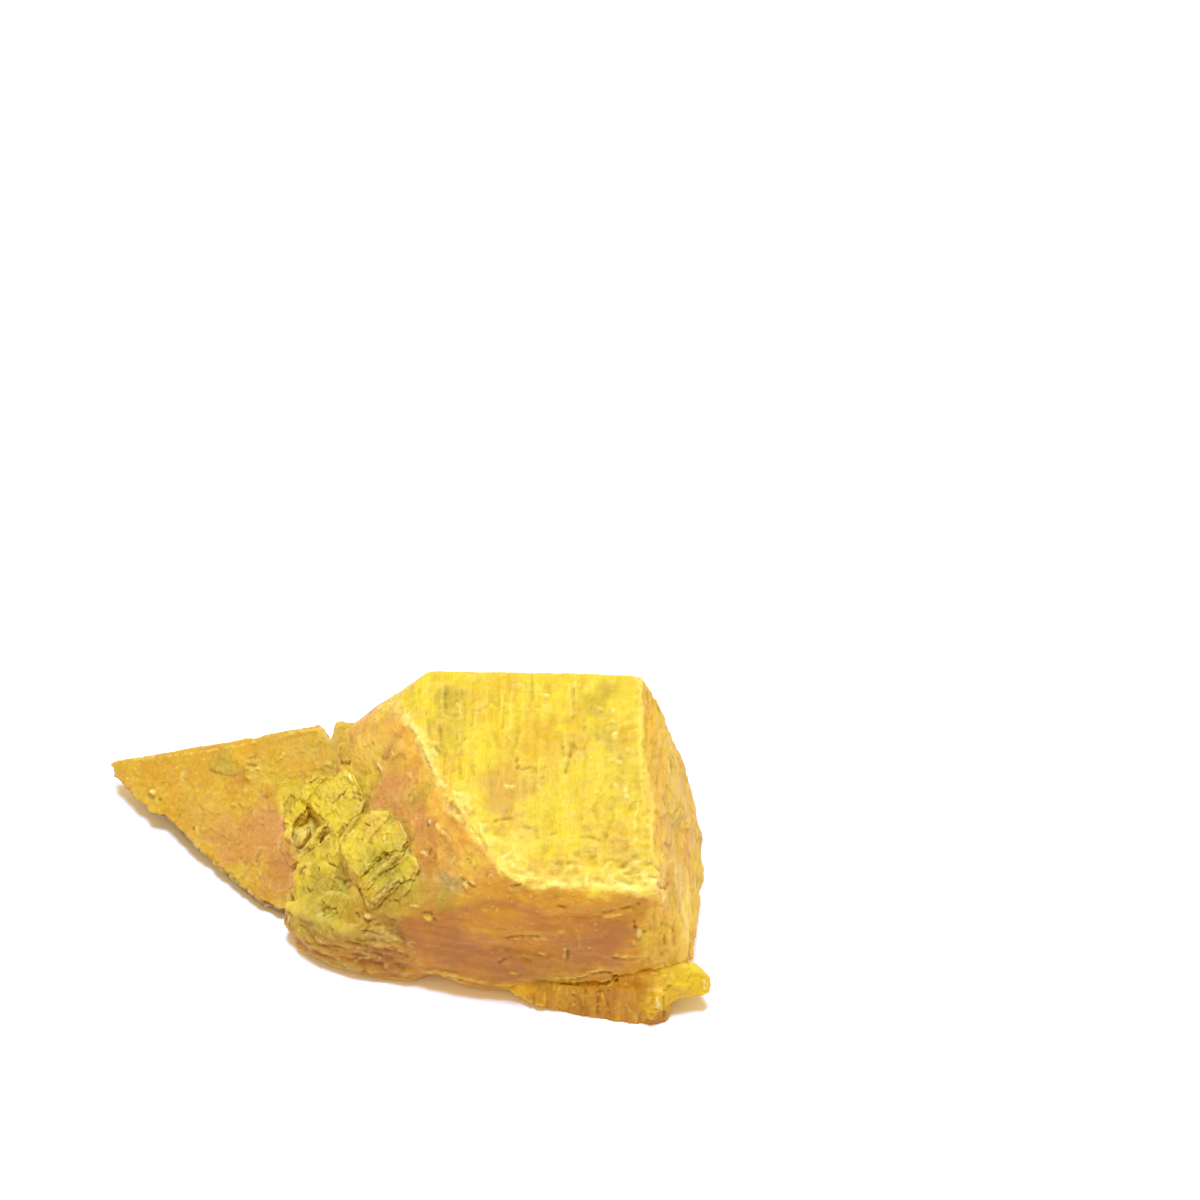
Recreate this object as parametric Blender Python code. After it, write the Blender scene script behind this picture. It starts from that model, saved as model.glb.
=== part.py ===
"""Orpiment hand specimen: one cleaved lump of yellow arsenic sulphide, lying on a flat cleavage face.

A block of upright cleavage sheets, with a nearly level top, carries a thin tongue that runs out to the left.
A crust of small cleavage books grows where the two meet, a low ledge runs under the front face, and a short
nub sticks out at the lower right. The stone grew and broke as one piece, so it is one solid.

Positions are millimetres while the stone is shaped, and become metres in `lay_on_base`.
+X runs from the tip of the tongue to the nub, +Y to the back and +Z up. The origin is the centre of the
stone's bounding box, on the surface that the stone rests on.
"""

import bmesh
import bpy
import numpy as np
from mathutils import Vector, noise

METRES_PER_MM = 0.001

# Driving dimensions, in millimetres.
TONGUE_TIP = (-27.2, 12.6, 3.2)
PEAK_HEIGHT = 16.4
BODY_RIGHT = 24.1
BASE_CUT_HEIGHT = 0.45
SHAPING_GRID = 0.22
TRIANGLE_TARGET = 9300

# Cleavage sheets stand across X; this is how far apart the coarse ones show.
SHEET_SPACING = 1.15

STONE_COLOUR = (0.72, 0.43, 0.06, 1.0)
STONE_ROUGHNESS = 0.52

# Corners of the main masses. Each mass is the convex hull of its corners, and all of them overlap.
BODY = [
    # The ridge down the left of the bright top, then the front brow.
    (-1.6, 9.8, 13.4), (0.5, 6.7, 13.8), (3.3, -0.4, 14.0), (6.7, -5.3, 13.8), (8.1, -7.5, 13.6),
    (10.5, -8.9, 13.3), (15.4, -9.2, 13.5), (19.7, -9.5, 13.8),
    # The crease across the top, and the strip behind it that falls away.
    (-0.9, 9.0, 13.9), (8.5, 7.8, 15.2), (18.4, 7.9, 16.2),
    (0.5, 13.0, 13.8), (7.1, 13.3, 14.5), (12.1, 11.8, 15.3), (18.8, 10.7, PEAK_HEIGHT),
    # The narrow bevel under the front brow.
    (10.8, -9.4, 11.9), (19.8, -10.0, 12.0),
    # The left slope, down to where the tongue leaves.
    (-7.2, 11.9, 6.7), (-6.2, 7.0, 6.0), (-4.7, 1.8, 7.0), (-5.2, -4.4, 5.2), (-4.9, -6.8, 5.8),
    (-1.2, -7.4, 7.3), (2.1, -7.7, 9.3),
    # The foot of the front face.
    (-2.3, -8.8, 0.9), (0.0, -9.0, 0.9), (1.7, -8.7, 1.1), (3.4, -8.8, 1.1), (6.4, -9.3, 1.0),
    (7.9, -9.6, 1.0), (15.4, -11.4, 4.0), (20.5, -10.8, 4.6),
    # The sloping right face.
    (20.7, 8.6, 14.2), (22.4, 5.1, 9.8), (BODY_RIGHT, 2.5, 5.2), (23.6, -2.0, 4.0), (23.3, -8.1, 3.0),
    # The back and the underside.
    (17.5, 15.0, 6.0), (6.0, 17.2, 6.5), (-2.5, 16.2, 6.0), (16.0, 14.6, 0.0), (5.0, 16.4, 0.0),
    (22.4, 4.0, 0.0), (22.6, -6.0, 0.0), (-3.0, -7.0, 0.0), (-6.5, -2.0, 0.0), (-5.5, 12.0, 0.0),
    (7.0, -8.4, 0.0),
]
TONGUE = [
    # Upper face: the tip, the bowed front edge, and the straight back edge up to the shoulder.
    TONGUE_TIP, (-25.3, 10.5, 2.9), (-21.1, 6.3, 2.4), (-17.1, 2.4, 2.0), (-15.1, 0.6, 1.9),
    (-12.7, -1.3, 1.8), (-10.9, -2.3, 1.8), (-16.3, 12.8, 5.2), (-8.5, 13.3, 6.8), (-4.6, 13.0, 8.4),
    (-1.6, 9.4, 6.9), (-5.6, -2.6, 2.7),
    # Underside, thin at the tip and resting under the root.
    (-26.9, 12.5, 2.7), (-21.0, 7.0, 1.7), (-14.9, 1.1, 1.2), (-11.0, -1.5, 1.0), (-17.0, 12.6, 3.2),
    (-9.0, 13.0, 2.0), (-13.0, 6.0, 0.3), (-9.0, 1.0, 0.0), (-8.0, 11.0, 0.0), (-3.0, 13.0, 0.0),
    (-3.0, 0.0, 0.0),
]
LOWER_LIP = [
    # The left end, then the foot, then what lies under the crust.
    (-10.5, -3.3, 3.6), (-10.2, -3.9, 3.0), (-10.2, -4.2, 2.0), (-9.4, -5.0, 1.0), (-9.1, -5.8, 0.9),
    (-7.2, -6.9, 0.9), (-4.0, -8.3, 0.9), (-1.5, -8.9, 0.9), (-4.9, -7.3, 5.8), (-1.1, -7.8, 6.6),
    (-7.8, -5.4, 4.6), (-8.6, -3.0, 3.6), (-9.0, -3.0, 0.5), (-5.5, -3.0, 0.0), (0.0, -4.0, 0.0),
    (-2.0, -2.0, 6.5), (-6.5, -2.5, 4.8),
]
LEDGE = [
    (8.2, -10.1, 1.5), (10.5, -11.1, 0.9), (13.1, -11.6, 0.6), (17.1, -12.3, 0.3), (19.4, -13.0, 0.1),
    (20.8, -12.8, 0.2), (21.4, -11.3, 1.8), (9.2, -10.2, 3.1), (13.5, -11.3, 3.4), (17.5, -11.8, 3.5),
    (20.0, -12.2, 3.0), (10.5, -9.8, 0.0), (17.5, -11.4, 0.0), (20.3, -11.8, 0.0), (12.0, -6.0, 0.0),
    (21.4, -7.0, 0.0), (12.0, -7.0, 4.0), (21.0, -8.0, 4.0),
]
NUB = [
    (18.6, -10.6, 4.9), (18.8, -11.3, 3.0), (23.2, -9.8, 4.7), (24.2, -10.2, 4.2), (24.7, -10.7, 3.3),
    (24.2, -11.2, 2.4), (21.5, -11.6, 2.1), (23.6, -8.0, 4.1), (23.8, -8.3, 2.6), (19.0, -7.5, 4.8),
    (19.0, -7.5, 2.0),
]

# Tilts of the planes that the crust follows: how far they rise towards +X and towards +Y per millimetre.
SLOPE_TILT = (0.60, 0.29)
CRUST_TILT = (0.83, 0.39)
TONGUE_TILT = (0.18, 0.30)
# Heights of the planes that the blocks are rooted in, at x = 0, y = 0.
SLOPE_ROOT = 7.0
TONGUE_ROOT = 3.9
HOLLOW_LID = 22.0
# A plate is its outline (x, y) and the height of its top's plane at x = 0, y = 0, in millimetres.
# The stair of plates that steps down the left slope, from the broad one at the top.
SLOPE_PLATES = [
    ([(-5.8, -0.5), (-4.8, 0.7), (-3.8, 0.9), (-1.6, 0.2), (-0.5, -1.2), (0.2, -2.7), (-0.6, -3.5),
      (-1.6, -2.9), (-2.8, -3.6), (-3.7, -4.5), (-4.9, -2.8)], 12.5),
    ([(-3.8, -4.2), (-2.8, -3.3), (-1.7, -2.5), (-0.7, -3.0), (-0.1, -3.6), (-1.8, -4.6), (-3.3, -5.4)], 12.0),
    ([(-3.3, -5.2), (-1.9, -4.1), (-0.2, -3.1), (0.7, -3.9), (1.3, -5.0), (0.7, -5.7), (-0.4, -5.4),
      (-1.3, -6.0), (-2.2, -6.6), (-2.9, -6.4)], 11.6),
    ([(-1.3, -5.8), (-0.4, -5.1), (0.6, -5.3), (0.6, -6.1), (-0.3, -6.7), (-1.2, -6.4)], 11.25),
]
# The plateau and the lumps that come down over the root of the tongue.
CRUST_PLATES = [
    ([(-9.8, 5.8), (-9.5, 6.8), (-8.2, 7.6), (-7.3, 6.2), (-8.5, 5.6), (-9.2, 5.1)], 12.4),
    ([(-8.6, 5.9), (-7.4, 6.5), (-5.7, 6.3), (-4.7, 5.1), (-3.7, 2.8), (-4.0, 1.7), (-5.0, 1.6), (-6.1, 0.8),
      (-7.6, 2.8), (-8.6, 4.6), (-9.3, 5.4)], 12.0),
    ([(-11.3, 6.5), (-9.9, 6.1), (-9.0, 4.6), (-10.0, 4.2), (-10.7, 3.1), (-11.3, 4.4)], 11.9),
    ([(-9.8, 1.3), (-8.6, 2.0), (-7.0, 1.8), (-6.1, 0.8), (-5.2, -1.5), (-5.4, -1.6), (-7.1, -0.5),
      (-9.4, 0.3)], 11.8),
    ([(-10.0, -0.1), (-9.4, 0.4), (-7.1, -0.6), (-6.0, -1.7), (-6.5, -3.2), (-7.5, -3.8), (-9.1, -3.0),
      (-10.0, -1.5)], 12.1),
    ([(-6.4, -3.6), (-5.0, -4.4), (-3.9, -5.4), (-3.8, -6.7), (-4.9, -6.7), (-7.1, -5.4), (-8.0, -3.9)], 12.5),
]
# Hollows among them: outline and the height of the floor's plane. They are open above.
CRUST_HOLLOWS = [
    ([(-10.3, 4.4), (-9.0, 4.7), (-7.0, 2.0), (-7.7, 1.3), (-8.6, 1.2), (-9.8, 1.0), (-11.2, 3.0)], 10.5),
    ([(-7.2, -4.5), (-5.6, -4.9), (-5.4, -5.8), (-6.9, -5.6)], 11.5),
    ([(-5.2, -1.9), (-4.2, -3.4), (-3.7, -5.2), (-3.2, -5.8), (-4.3, -5.2), (-5.3, -4.1), (-5.9, -3.0)], 10.4),
]
# Blocks left standing in the widest hollow.
HOLLOW_BLOCKS = [
    ([(-9.1, 2.0), (-8.0, 3.2), (-7.5, 2.6), (-8.6, 1.4)], 11.3),
    ([(-10.1, 2.8), (-9.1, 4.0), (-8.6, 3.5), (-9.6, 2.3)], 11.15),
]
# The nick in the tongue's back edge: its outline and its floor.
NICK = [(-8.9, 17.0), (-8.5, 13.4), (-7.9, 11.8), (-7.2, 13.0), (-6.8, 17.0)]
NICK_FLOOR = (0.5, 0.0, 0.0)


def smooth_step(low, high, value):
    """0 below low, 1 above high and a smooth rise between them, for arrays."""
    share = np.clip((value - low) / (high - low), 0.0, 1.0)
    return share * share * (3.0 - 2.0 * share)


def clear_scene():
    for existing in list(bpy.data.objects):
        bpy.data.objects.remove(existing)


def new_object(name, build):
    """An object in the scene whose mesh is what build leaves in a bmesh."""
    mesh = bpy.data.meshes.new(name)
    shape = bmesh.new()
    build(shape)
    bmesh.ops.recalc_face_normals(shape, faces=shape.faces[:])
    shape.to_mesh(mesh)
    shape.free()
    made = bpy.data.objects.new(name, mesh)
    bpy.context.scene.collection.objects.link(made)
    return made


def add_hull(shape, corners):
    """Adds the convex hull of the corners to the bmesh, as a closed shell of its own."""
    points = [shape.verts.new(corner) for corner in corners]
    hull = bmesh.ops.convex_hull(shape, input=points)
    inner = [item for item in hull["geom_interior"] if isinstance(item, bmesh.types.BMVert)]
    bmesh.ops.delete(shape, geom=inner, context="VERTS")


def add_prism(shape, outline, lower, upper):
    """Adds a block with upright sides over the outline. A plane is its height at x = 0, y = 0, and its tilt."""
    rings = []
    for height, rise_x, rise_y in (lower, upper):
        ring = [shape.verts.new((x, y, height + rise_x * x + rise_y * y)) for x, y in outline]
        rings.append(ring)
        shape.faces.new(ring)
    below, above = rings
    for here in range(len(outline)):
        after = (here + 1) % len(outline)
        shape.faces.new((below[here], below[after], above[after], above[here]))


def build_masses(shape):
    """The masses and the plates of the crust, all overlapping."""
    for corners in (BODY, TONGUE, LOWER_LIP, LEDGE, NUB):
        add_hull(shape, corners)
    for outline, top in SLOPE_PLATES:
        add_prism(shape, outline, (SLOPE_ROOT, *SLOPE_TILT), (top, *SLOPE_TILT))
    for outline, top in CRUST_PLATES:
        add_prism(shape, outline, (TONGUE_ROOT, *TONGUE_TILT), (top, *CRUST_TILT))


def build_hollows(shape):
    """What is cut away between the plates, and the nick."""
    for outline, floor in CRUST_HOLLOWS:
        add_prism(shape, outline, (floor, *CRUST_TILT), (HOLLOW_LID, *CRUST_TILT))
    add_prism(shape, NICK, NICK_FLOOR, (HOLLOW_LID, 0.0, 0.0))


def build_hollow_blocks(shape):
    for outline, top in HOLLOW_BLOCKS:
        add_prism(shape, outline, (TONGUE_ROOT, *TONGUE_TILT), (top, *CRUST_TILT))


def rough_block():
    """The masses and the plates fused into one closed shell on an even grid."""
    block = new_object("rough_block", build_masses)
    cutter = new_object("hollow_cutter", build_hollows)
    standing = new_object("hollow_blocks", build_hollow_blocks)
    for name, operation, other in (("hollow", "DIFFERENCE", cutter), ("blocks", "UNION", standing)):
        step = block.modifiers.new(name, "BOOLEAN")
        step.operation = operation
        step.solver = "EXACT"
        step.use_self = True
        step.object = other
    even = block.modifiers.new("even", "REMESH")
    even.mode = "VOXEL"
    even.voxel_size = SHAPING_GRID
    block = applied(block, "shaped_block")
    bpy.data.objects.remove(cutter)
    bpy.data.objects.remove(standing)
    return block


def applied(source, name):
    """A new object that holds source as its modifiers leave it; source is removed."""
    bpy.context.view_layer.update()
    graph = bpy.context.evaluated_depsgraph_get()
    mesh = bpy.data.meshes.new_from_object(source.evaluated_get(graph))
    made = bpy.data.objects.new(name, mesh)
    bpy.context.scene.collection.objects.link(made)
    bpy.data.objects.remove(source)
    return made


def mesh_points(mesh):
    points = np.empty(len(mesh.vertices) * 3, np.float32)
    mesh.vertices.foreach_get("co", points)
    return points.reshape(-1, 3).astype(float)


def mesh_normals(mesh):
    normals = np.empty(len(mesh.vertices) * 3, np.float32)
    mesh.vertex_normals.foreach_get("vector", normals)
    return normals.reshape(-1, 3).astype(float)


def stretched_noise(points, scale, octaves=2):
    """Fractal noise read from the points divided by a size for each axis."""
    return np.array([noise.fractal(Vector(p), 0.9, 2.1, octaves) for p in points / np.array(scale)])


def terraces(height, step, softness=0.28):
    """Turns a smooth height into treads and short risers, each one step high."""
    level = np.floor(height / step)
    rise = height / step - level
    return step * (level + smooth_step(0.5 - softness, 0.5 + softness, rise))


def weather(stone):
    """Moves the surface along its normals to give the broken faces their relief."""
    mesh = stone.data
    points = mesh_points(mesh)
    normals = mesh_normals(mesh)
    on_top = smooth_step(0.8, 0.95, normals[:, 2]) * smooth_step(0.0, 3.0, points[:, 0])
    on_right = smooth_step(0.55, 0.8, normals[:, 0])
    on_front = smooth_step(0.45, 0.75, -normals[:, 1])
    on_back = smooth_step(0.45, 0.75, normals[:, 1])
    low = smooth_step(4.5, 2.5, points[:, 2])
    sheeted = np.clip(on_top + on_right + on_back + on_front * low, 0.0, 1.0)

    broad = 0.35 * stretched_noise(points, (7.0, 7.0, 6.0))
    lumps = 0.16 * stretched_noise(points + 31.0, (2.4, 2.4, 2.2), 3)
    sheets = stretched_noise(points + 57.0, (SHEET_SPACING, 9.0, 9.0), 2)
    striae = 0.10 * terraces(sheets, 0.55) + 0.03 * sheets
    flakes = 0.32 * terraces(stretched_noise(points + 83.0, (4.2, 6.5, 5.0), 2), 0.45)
    ripples = 0.25 * stretched_noise(points + 11.0, (7.0, 3.0, 1.7), 2)

    relief = broad + lumps * (1.0 - 0.5 * sheeted)
    relief += sheeted * (striae + flakes)
    relief += on_front * (1.0 - low) * ripples
    resting = smooth_step(1.4, 0.6, points[:, 2]) * smooth_step(-0.5, -0.9, normals[:, 2])
    points += normals * (relief * (1.0 - resting))[:, None]
    mesh.vertices.foreach_set("co", points.astype(np.float32).ravel())
    mesh.update()


def thin_out(stone):
    """Fewer triangles where the surface is flat, the same detail where it isn't."""
    stone.data.calc_loop_triangles()
    fewer = stone.modifiers.new("fewer", "DECIMATE")
    fewer.decimate_type = "COLLAPSE"
    fewer.ratio = TRIANGLE_TARGET / len(stone.data.loop_triangles)
    return applied(stone, "orpiment")


def lay_on_base(stone):
    """Cuts the flat cleavage that the stone rests on, and brings the stone to its origin, in metres."""
    shape = bmesh.new()
    shape.from_mesh(stone.data)
    everything = shape.verts[:] + shape.edges[:] + shape.faces[:]
    cut = bmesh.ops.bisect_plane(
        shape,
        geom=everything,
        dist=1e-4,
        plane_co=(0.0, 0.0, BASE_CUT_HEIGHT),
        plane_no=(0.0, 0.0, 1.0),
        clear_inner=True,
    )
    rim = [item for item in cut["geom_cut"] if isinstance(item, bmesh.types.BMEdge)]
    bmesh.ops.holes_fill(shape, edges=rim, sides=0)
    bmesh.ops.triangulate(shape, faces=shape.faces[:])
    spots = np.array([vert.co for vert in shape.verts])
    low, high = spots.min(axis=0), spots.max(axis=0)
    centre = Vector(((low[0] + high[0]) / 2, (low[1] + high[1]) / 2, BASE_CUT_HEIGHT))
    bmesh.ops.translate(shape, verts=shape.verts[:], vec=-centre)
    bmesh.ops.scale(shape, verts=shape.verts[:], vec=(METRES_PER_MM,) * 3)
    shape.to_mesh(stone.data)
    shape.free()
    print("recentred by", [round(c, 3) for c in centre])


def orpiment_material():
    material = bpy.data.materials.new("orpiment")
    material.use_nodes = True
    surface = material.node_tree.nodes["Principled BSDF"]
    surface.inputs["Base Color"].default_value = STONE_COLOUR
    surface.inputs["Roughness"].default_value = STONE_ROUGHNESS
    surface.inputs["Metallic"].default_value = 0.0
    return material


def main():
    clear_scene()
    stone = rough_block()
    weather(stone)
    stone = thin_out(stone)
    lay_on_base(stone)
    stone.data.materials.clear()
    stone.data.materials.append(orpiment_material())


main()
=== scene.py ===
"""Orpiment hand specimen on a pale floor: the shapes, the finishes, the light and the camera.

The stone is shaped in its own design frame, in millimetres, with +X from the tip of the tongue to the nub,
+Y to the back and +Z up. `to_row_frame` brings every finished mesh to the model's frame, in metres.
"""

import sys

import logging
import math
from dataclasses import dataclass, field, replace
from enum import Enum

import bmesh
import bpy
import numpy as np
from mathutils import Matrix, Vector, noise
from mathutils.bvhtree import BVHTree


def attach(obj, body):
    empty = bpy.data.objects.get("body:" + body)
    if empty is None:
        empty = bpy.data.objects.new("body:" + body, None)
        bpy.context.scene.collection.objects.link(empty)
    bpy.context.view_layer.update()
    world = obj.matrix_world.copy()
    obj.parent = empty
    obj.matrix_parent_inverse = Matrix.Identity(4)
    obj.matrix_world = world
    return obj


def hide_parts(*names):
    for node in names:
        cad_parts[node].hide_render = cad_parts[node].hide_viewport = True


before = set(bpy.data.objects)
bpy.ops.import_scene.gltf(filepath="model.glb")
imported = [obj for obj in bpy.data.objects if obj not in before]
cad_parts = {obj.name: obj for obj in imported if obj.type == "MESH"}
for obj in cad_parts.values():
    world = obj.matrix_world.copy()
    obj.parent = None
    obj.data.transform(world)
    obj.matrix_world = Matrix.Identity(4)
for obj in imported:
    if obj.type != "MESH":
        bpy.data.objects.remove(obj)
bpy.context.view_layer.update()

log = logging.getLogger("orpiment")

Point = tuple[float, float, float]
Line = tuple[Point, ...]
Outline = tuple[tuple[float, float], ...]
Place = tuple[int, int]
Course = tuple[int, ...]
Array = np.ndarray
Object = bpy.types.Object
Mesh = bpy.types.Mesh
Shape = bmesh.types.BMesh
Material = bpy.types.Material
Tree = bpy.types.NodeTree
Socket = bpy.types.NodeSocket

METRES_PER_MM = 0.001
DESIGN_CENTRE: Point = (-1.25, 2.148, 0.45)
FRAME_SIZE = 1200
TINY = 1e-9
SAME_SHEET = 0.8  # how far off a mark's line, in millimetres, the surface still counts as flat along it
CELL_PRIMES = (73856093, 19349663, 83492791)
SEED_PRIME = 26544357
MIXING = ((13, 1274126177), (16, 668265263))
LARGEST_KEY = 0x7FFFFFFF
LARGEST_DRAW = 0xFFFFF
LATTICE_GAIN = 1.6
OCTAVE_SHIFT = 17.3
NOISE_ROUGHNESS = 0.55
VALUE_SEED = 7


# ----------------------------------------
# Small tools


@dataclass(frozen=True)
class Ramp:
    """A smooth rise from 0 at low to 1 at high, or a fall where low is above high."""

    low: float
    high: float

    def of(self, value: Array) -> Array:
        """Returns the share for each value."""
        share = np.clip((value - self.low) / (self.high - self.low), 0.0, 1.0)
        return share * share * (3.0 - 2.0 * share)


def hashed(cells: Array, seed: int) -> Array:
    """Gives each whole-numbered cell a number of its own.

    Args:
        cells: one row of three whole numbers for each cell.
        seed: which set of numbers it is.

    Returns:
        A whole number from 0 to 2^31 - 1 for each cell.
    """
    key = (cells @ np.array(CELL_PRIMES) + seed * SEED_PRIME) & LARGEST_KEY
    for shift, prime in MIXING:
        key = ((key ^ (key >> shift)) * prime) & LARGEST_KEY
    return key


def random_of(cells: Array, seed: int) -> Array:
    """Returns a random value from 0 to 1 for each cell."""
    return (hashed(cells, seed) & LARGEST_DRAW) / float(LARGEST_DRAW)


def lattice_noise(points: Array, seed: int) -> Array:
    """Gives smooth noise from random slopes on a unit grid.

    Args:
        points: where to read it, one row of three for each point.
        seed: which noise it is.

    Returns:
        One value for each point, mostly between -1 and 1.
    """
    cell = np.floor(points).astype(np.int64)
    local = points - cell
    fade = local**3 * (local * (local * 6.0 - 15.0) + 10.0)
    total = np.zeros(len(points))
    for corner in range(8):
        step = np.array([(corner >> axis) & 1 for axis in range(3)])
        key = hashed(cell + step, seed)
        turn = (key & 0xFFFF) / 0x10000 * math.tau
        height = ((key >> 15) & 0xFFFF) / 0x8000 - 1.0
        flat = np.sqrt(np.maximum(0.0, 1.0 - height**2))
        slope = np.stack([flat * np.cos(turn), flat * np.sin(turn), height], axis=1)
        weight = np.prod(np.where(step == 1, fade, 1.0 - fade), axis=1)
        total += weight * np.sum(slope * (local - step), axis=1)
    return total * LATTICE_GAIN


def fractal_noise(points: Array, size: Point, seed: int, octaves: int = 3) -> Array:
    """Adds several octaves of lattice noise.

    Args:
        points: where to read it, in millimetres.
        size: how long its largest waves are along X, Y and Z, in millimetres.
        seed: which noise it is.
        octaves: how many times it is added at half the size.

    Returns:
        One value for each point, mostly between -1 and 1.
    """
    total = np.zeros(len(points))
    for octave in range(octaves):
        scaled = points / np.array(size) * 2.0**octave + OCTAVE_SHIFT * octave
        total += 0.5**octave * lattice_noise(scaled, seed + octave)
    return total


def terraces(height: Array, step: float, softness: float) -> Array:
    """Turns smooth heights into treads one step apart, with risers that are a little soft."""
    level = np.floor(height / step)
    return step * (level + Ramp(0.5 - softness, 0.5 + softness).of(height / step - level))


def cell_values(points: Array, size: Point, seed: int) -> Array:
    """Gives every point the random value of the nearest of many scattered seeds, so it makes blocks.

    Args:
        points: where to read it, in millimetres.
        size: how far apart the seeds are along X, Y and Z.
        seed: which blocks they are.

    Returns:
        A value from 0 to 1 for each point, the same all over a block.
    """
    scaled = points / np.array(size)
    home = np.floor(scaled).astype(np.int64)
    best = np.full(len(points), np.inf)
    value = np.zeros(len(points))
    for shift in np.ndindex(3, 3, 3):
        cell = home + np.array(shift) - 1
        spot = cell + np.stack([random_of(cell, seed + axis) for axis in range(3)], axis=1)
        gap = np.sum((scaled - spot) ** 2, axis=1)
        closer = gap < best
        best = np.where(closer, gap, best)
        value = np.where(closer, random_of(cell, seed + VALUE_SEED), value)
    return value


def distance_to_line(points: Array, line: Line, normals: Array | None = None) -> Array:
    """Measures how far each point is from a line through several corners.

    Args:
        points: one row of three for each point.
        line: the line's corners.
        normals: the surface's normals, to measure along the surface alone where the line is less than
            SAME_SHEET off it, or None to measure straight.

    Returns:
        The shortest distance for each point.
    """
    best = np.full(len(points), np.inf)
    for start, end in zip(line[:-1], line[1:]):
        first, run = np.array(start), np.array(end) - np.array(start)
        share = np.clip(((points - first) @ run) / max(run @ run, TINY), 0.0, 1.0)
        gap = points - first - share[:, None] * run
        squared = np.sum(gap**2, axis=1)
        if normals is not None:
            height = np.sum(gap * normals, axis=1)
            squared = np.where(np.abs(height) < SAME_SHEET, squared - height**2, squared)
        best = np.minimum(best, np.sqrt(np.maximum(squared, 0.0)))
    return best


def distance_into_outline(points: Array, outline: Outline) -> Array:
    """Measures how far inside an outline each point is, seen from above.

    Args:
        points: one row of three for each point.
        outline: the outline's corners.

    Returns:
        The distance to the outline, negative outside it.
    """
    spots = points[:, :2]
    inside = np.zeros(len(spots), bool)
    nearest = np.full(len(spots), np.inf)
    for here, corner in enumerate(outline):
        start, end = np.array(corner), np.array(outline[(here + 1) % len(outline)])
        run = end - start
        share = np.clip(((spots - start) @ run) / (run @ run), 0.0, 1.0)
        nearest = np.minimum(nearest, np.linalg.norm(spots - start - share[:, None] * run, axis=1))
        spans = (start[1] > spots[:, 1]) != (end[1] > spots[:, 1])
        rise = run[1] if run[1] else TINY
        crossing = start[0] + (spots[:, 1] - start[1]) * run[0] / rise
        inside ^= spans & (spots[:, 0] < crossing)
    return np.where(inside, nearest, -nearest)


def rows_of(data: bpy.types.bpy_prop_collection, field_name: str, width: int, kind: type) -> Array:
    """Reads one field of every item of a mesh's data.

    Args:
        data: the vertices, normals or edges.
        field_name: which field of theirs.
        width: how many numbers the field has.
        kind: the numbers' type.

    Returns:
        One row for each item.
    """
    flat = np.empty(len(data) * width, kind)
    data.foreach_get(field_name, flat)
    return flat.reshape(-1, width)


def vertex_array(mesh: Mesh) -> Array:
    """Returns the mesh's vertex positions, one row for each."""
    return rows_of(mesh.vertices, "co", 3, np.float32).astype(float)


def normal_array(mesh: Mesh) -> Array:
    """Returns the mesh's vertex normals, one row for each."""
    return rows_of(mesh.vertex_normals, "vector", 3, np.float32).astype(float)


def edge_array(mesh: Mesh) -> Array:
    """Returns the two vertices of each edge, one row for each."""
    return rows_of(mesh.edges, "vertices", 2, np.int32)


def move_vertices(mesh: Mesh, points: Array) -> None:
    """Puts the mesh's vertices at new positions."""
    mesh.vertices.foreach_set("co", points.astype(np.float32).ravel())
    mesh.update()


def store(mesh: Mesh, name: str, values: Array) -> None:
    """Keeps one number for each vertex as a named attribute."""
    kept = mesh.attributes.new(name, "FLOAT", "POINT")
    kept.data.foreach_set("value", values.astype(np.float32))


def store_tint(mesh: Mesh, colours: Array) -> None:
    """Keeps one colour for each vertex as the attribute tint."""
    rows = np.column_stack([colours, np.ones(len(colours))]).astype(np.float32)
    mesh.color_attributes.new("tint", "FLOAT_COLOR", "POINT").data.foreach_set("color", rows.ravel())


def neighbour_mean(values: Array, edges: Array, rounds: int) -> Array:
    """Smooths one value, or one row of values, for each vertex over the mesh.

    Args:
        values: what to smooth.
        edges: the mesh's edges.
        rounds: how many times each vertex takes in its neighbours.

    Returns:
        The smoothed values.
    """
    smooth = np.array(values, float).reshape(len(values), -1)
    count = np.bincount(edges.ravel(), minlength=len(smooth)).astype(float) + 1.0
    for _ in range(rounds):
        columns = []
        for column in smooth.T:
            total = column + np.bincount(edges[:, 0], column[edges[:, 1]], len(column))
            total += np.bincount(edges[:, 1], column[edges[:, 0]], len(column))
            columns.append(total / count)
        smooth = np.stack(columns, axis=1)
    return smooth.reshape(np.shape(values))


def placed(name: str, data: bpy.types.ID) -> Object:
    """Makes an object and puts it in the scene.

    Args:
        name: the object's name.
        data: its mesh, lamp or camera.

    Returns:
        The object.
    """
    made = bpy.data.objects.new(name, data)
    bpy.context.scene.collection.objects.link(made)
    return made


def new_object(name: str, shape: Shape) -> Object:
    """Puts a finished bmesh in the scene as an object, and frees the bmesh.

    Args:
        name: the object's name.
        shape: the bmesh.

    Returns:
        The object.
    """
    mesh = bpy.data.meshes.new(name)
    shape.to_mesh(mesh)
    shape.free()
    return placed(name, mesh)


def applied(source: Object, name: str) -> Object:
    """Makes a new object that holds source as its modifiers leave it, and removes source.

    Args:
        source: the object with the modifiers.
        name: the new object's name.

    Returns:
        The new object.
    """
    bpy.context.view_layer.update()
    graph = bpy.context.evaluated_depsgraph_get()
    made = placed(name, bpy.data.meshes.new_from_object(source.evaluated_get(graph)))
    bpy.data.objects.remove(source)
    return made


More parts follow.
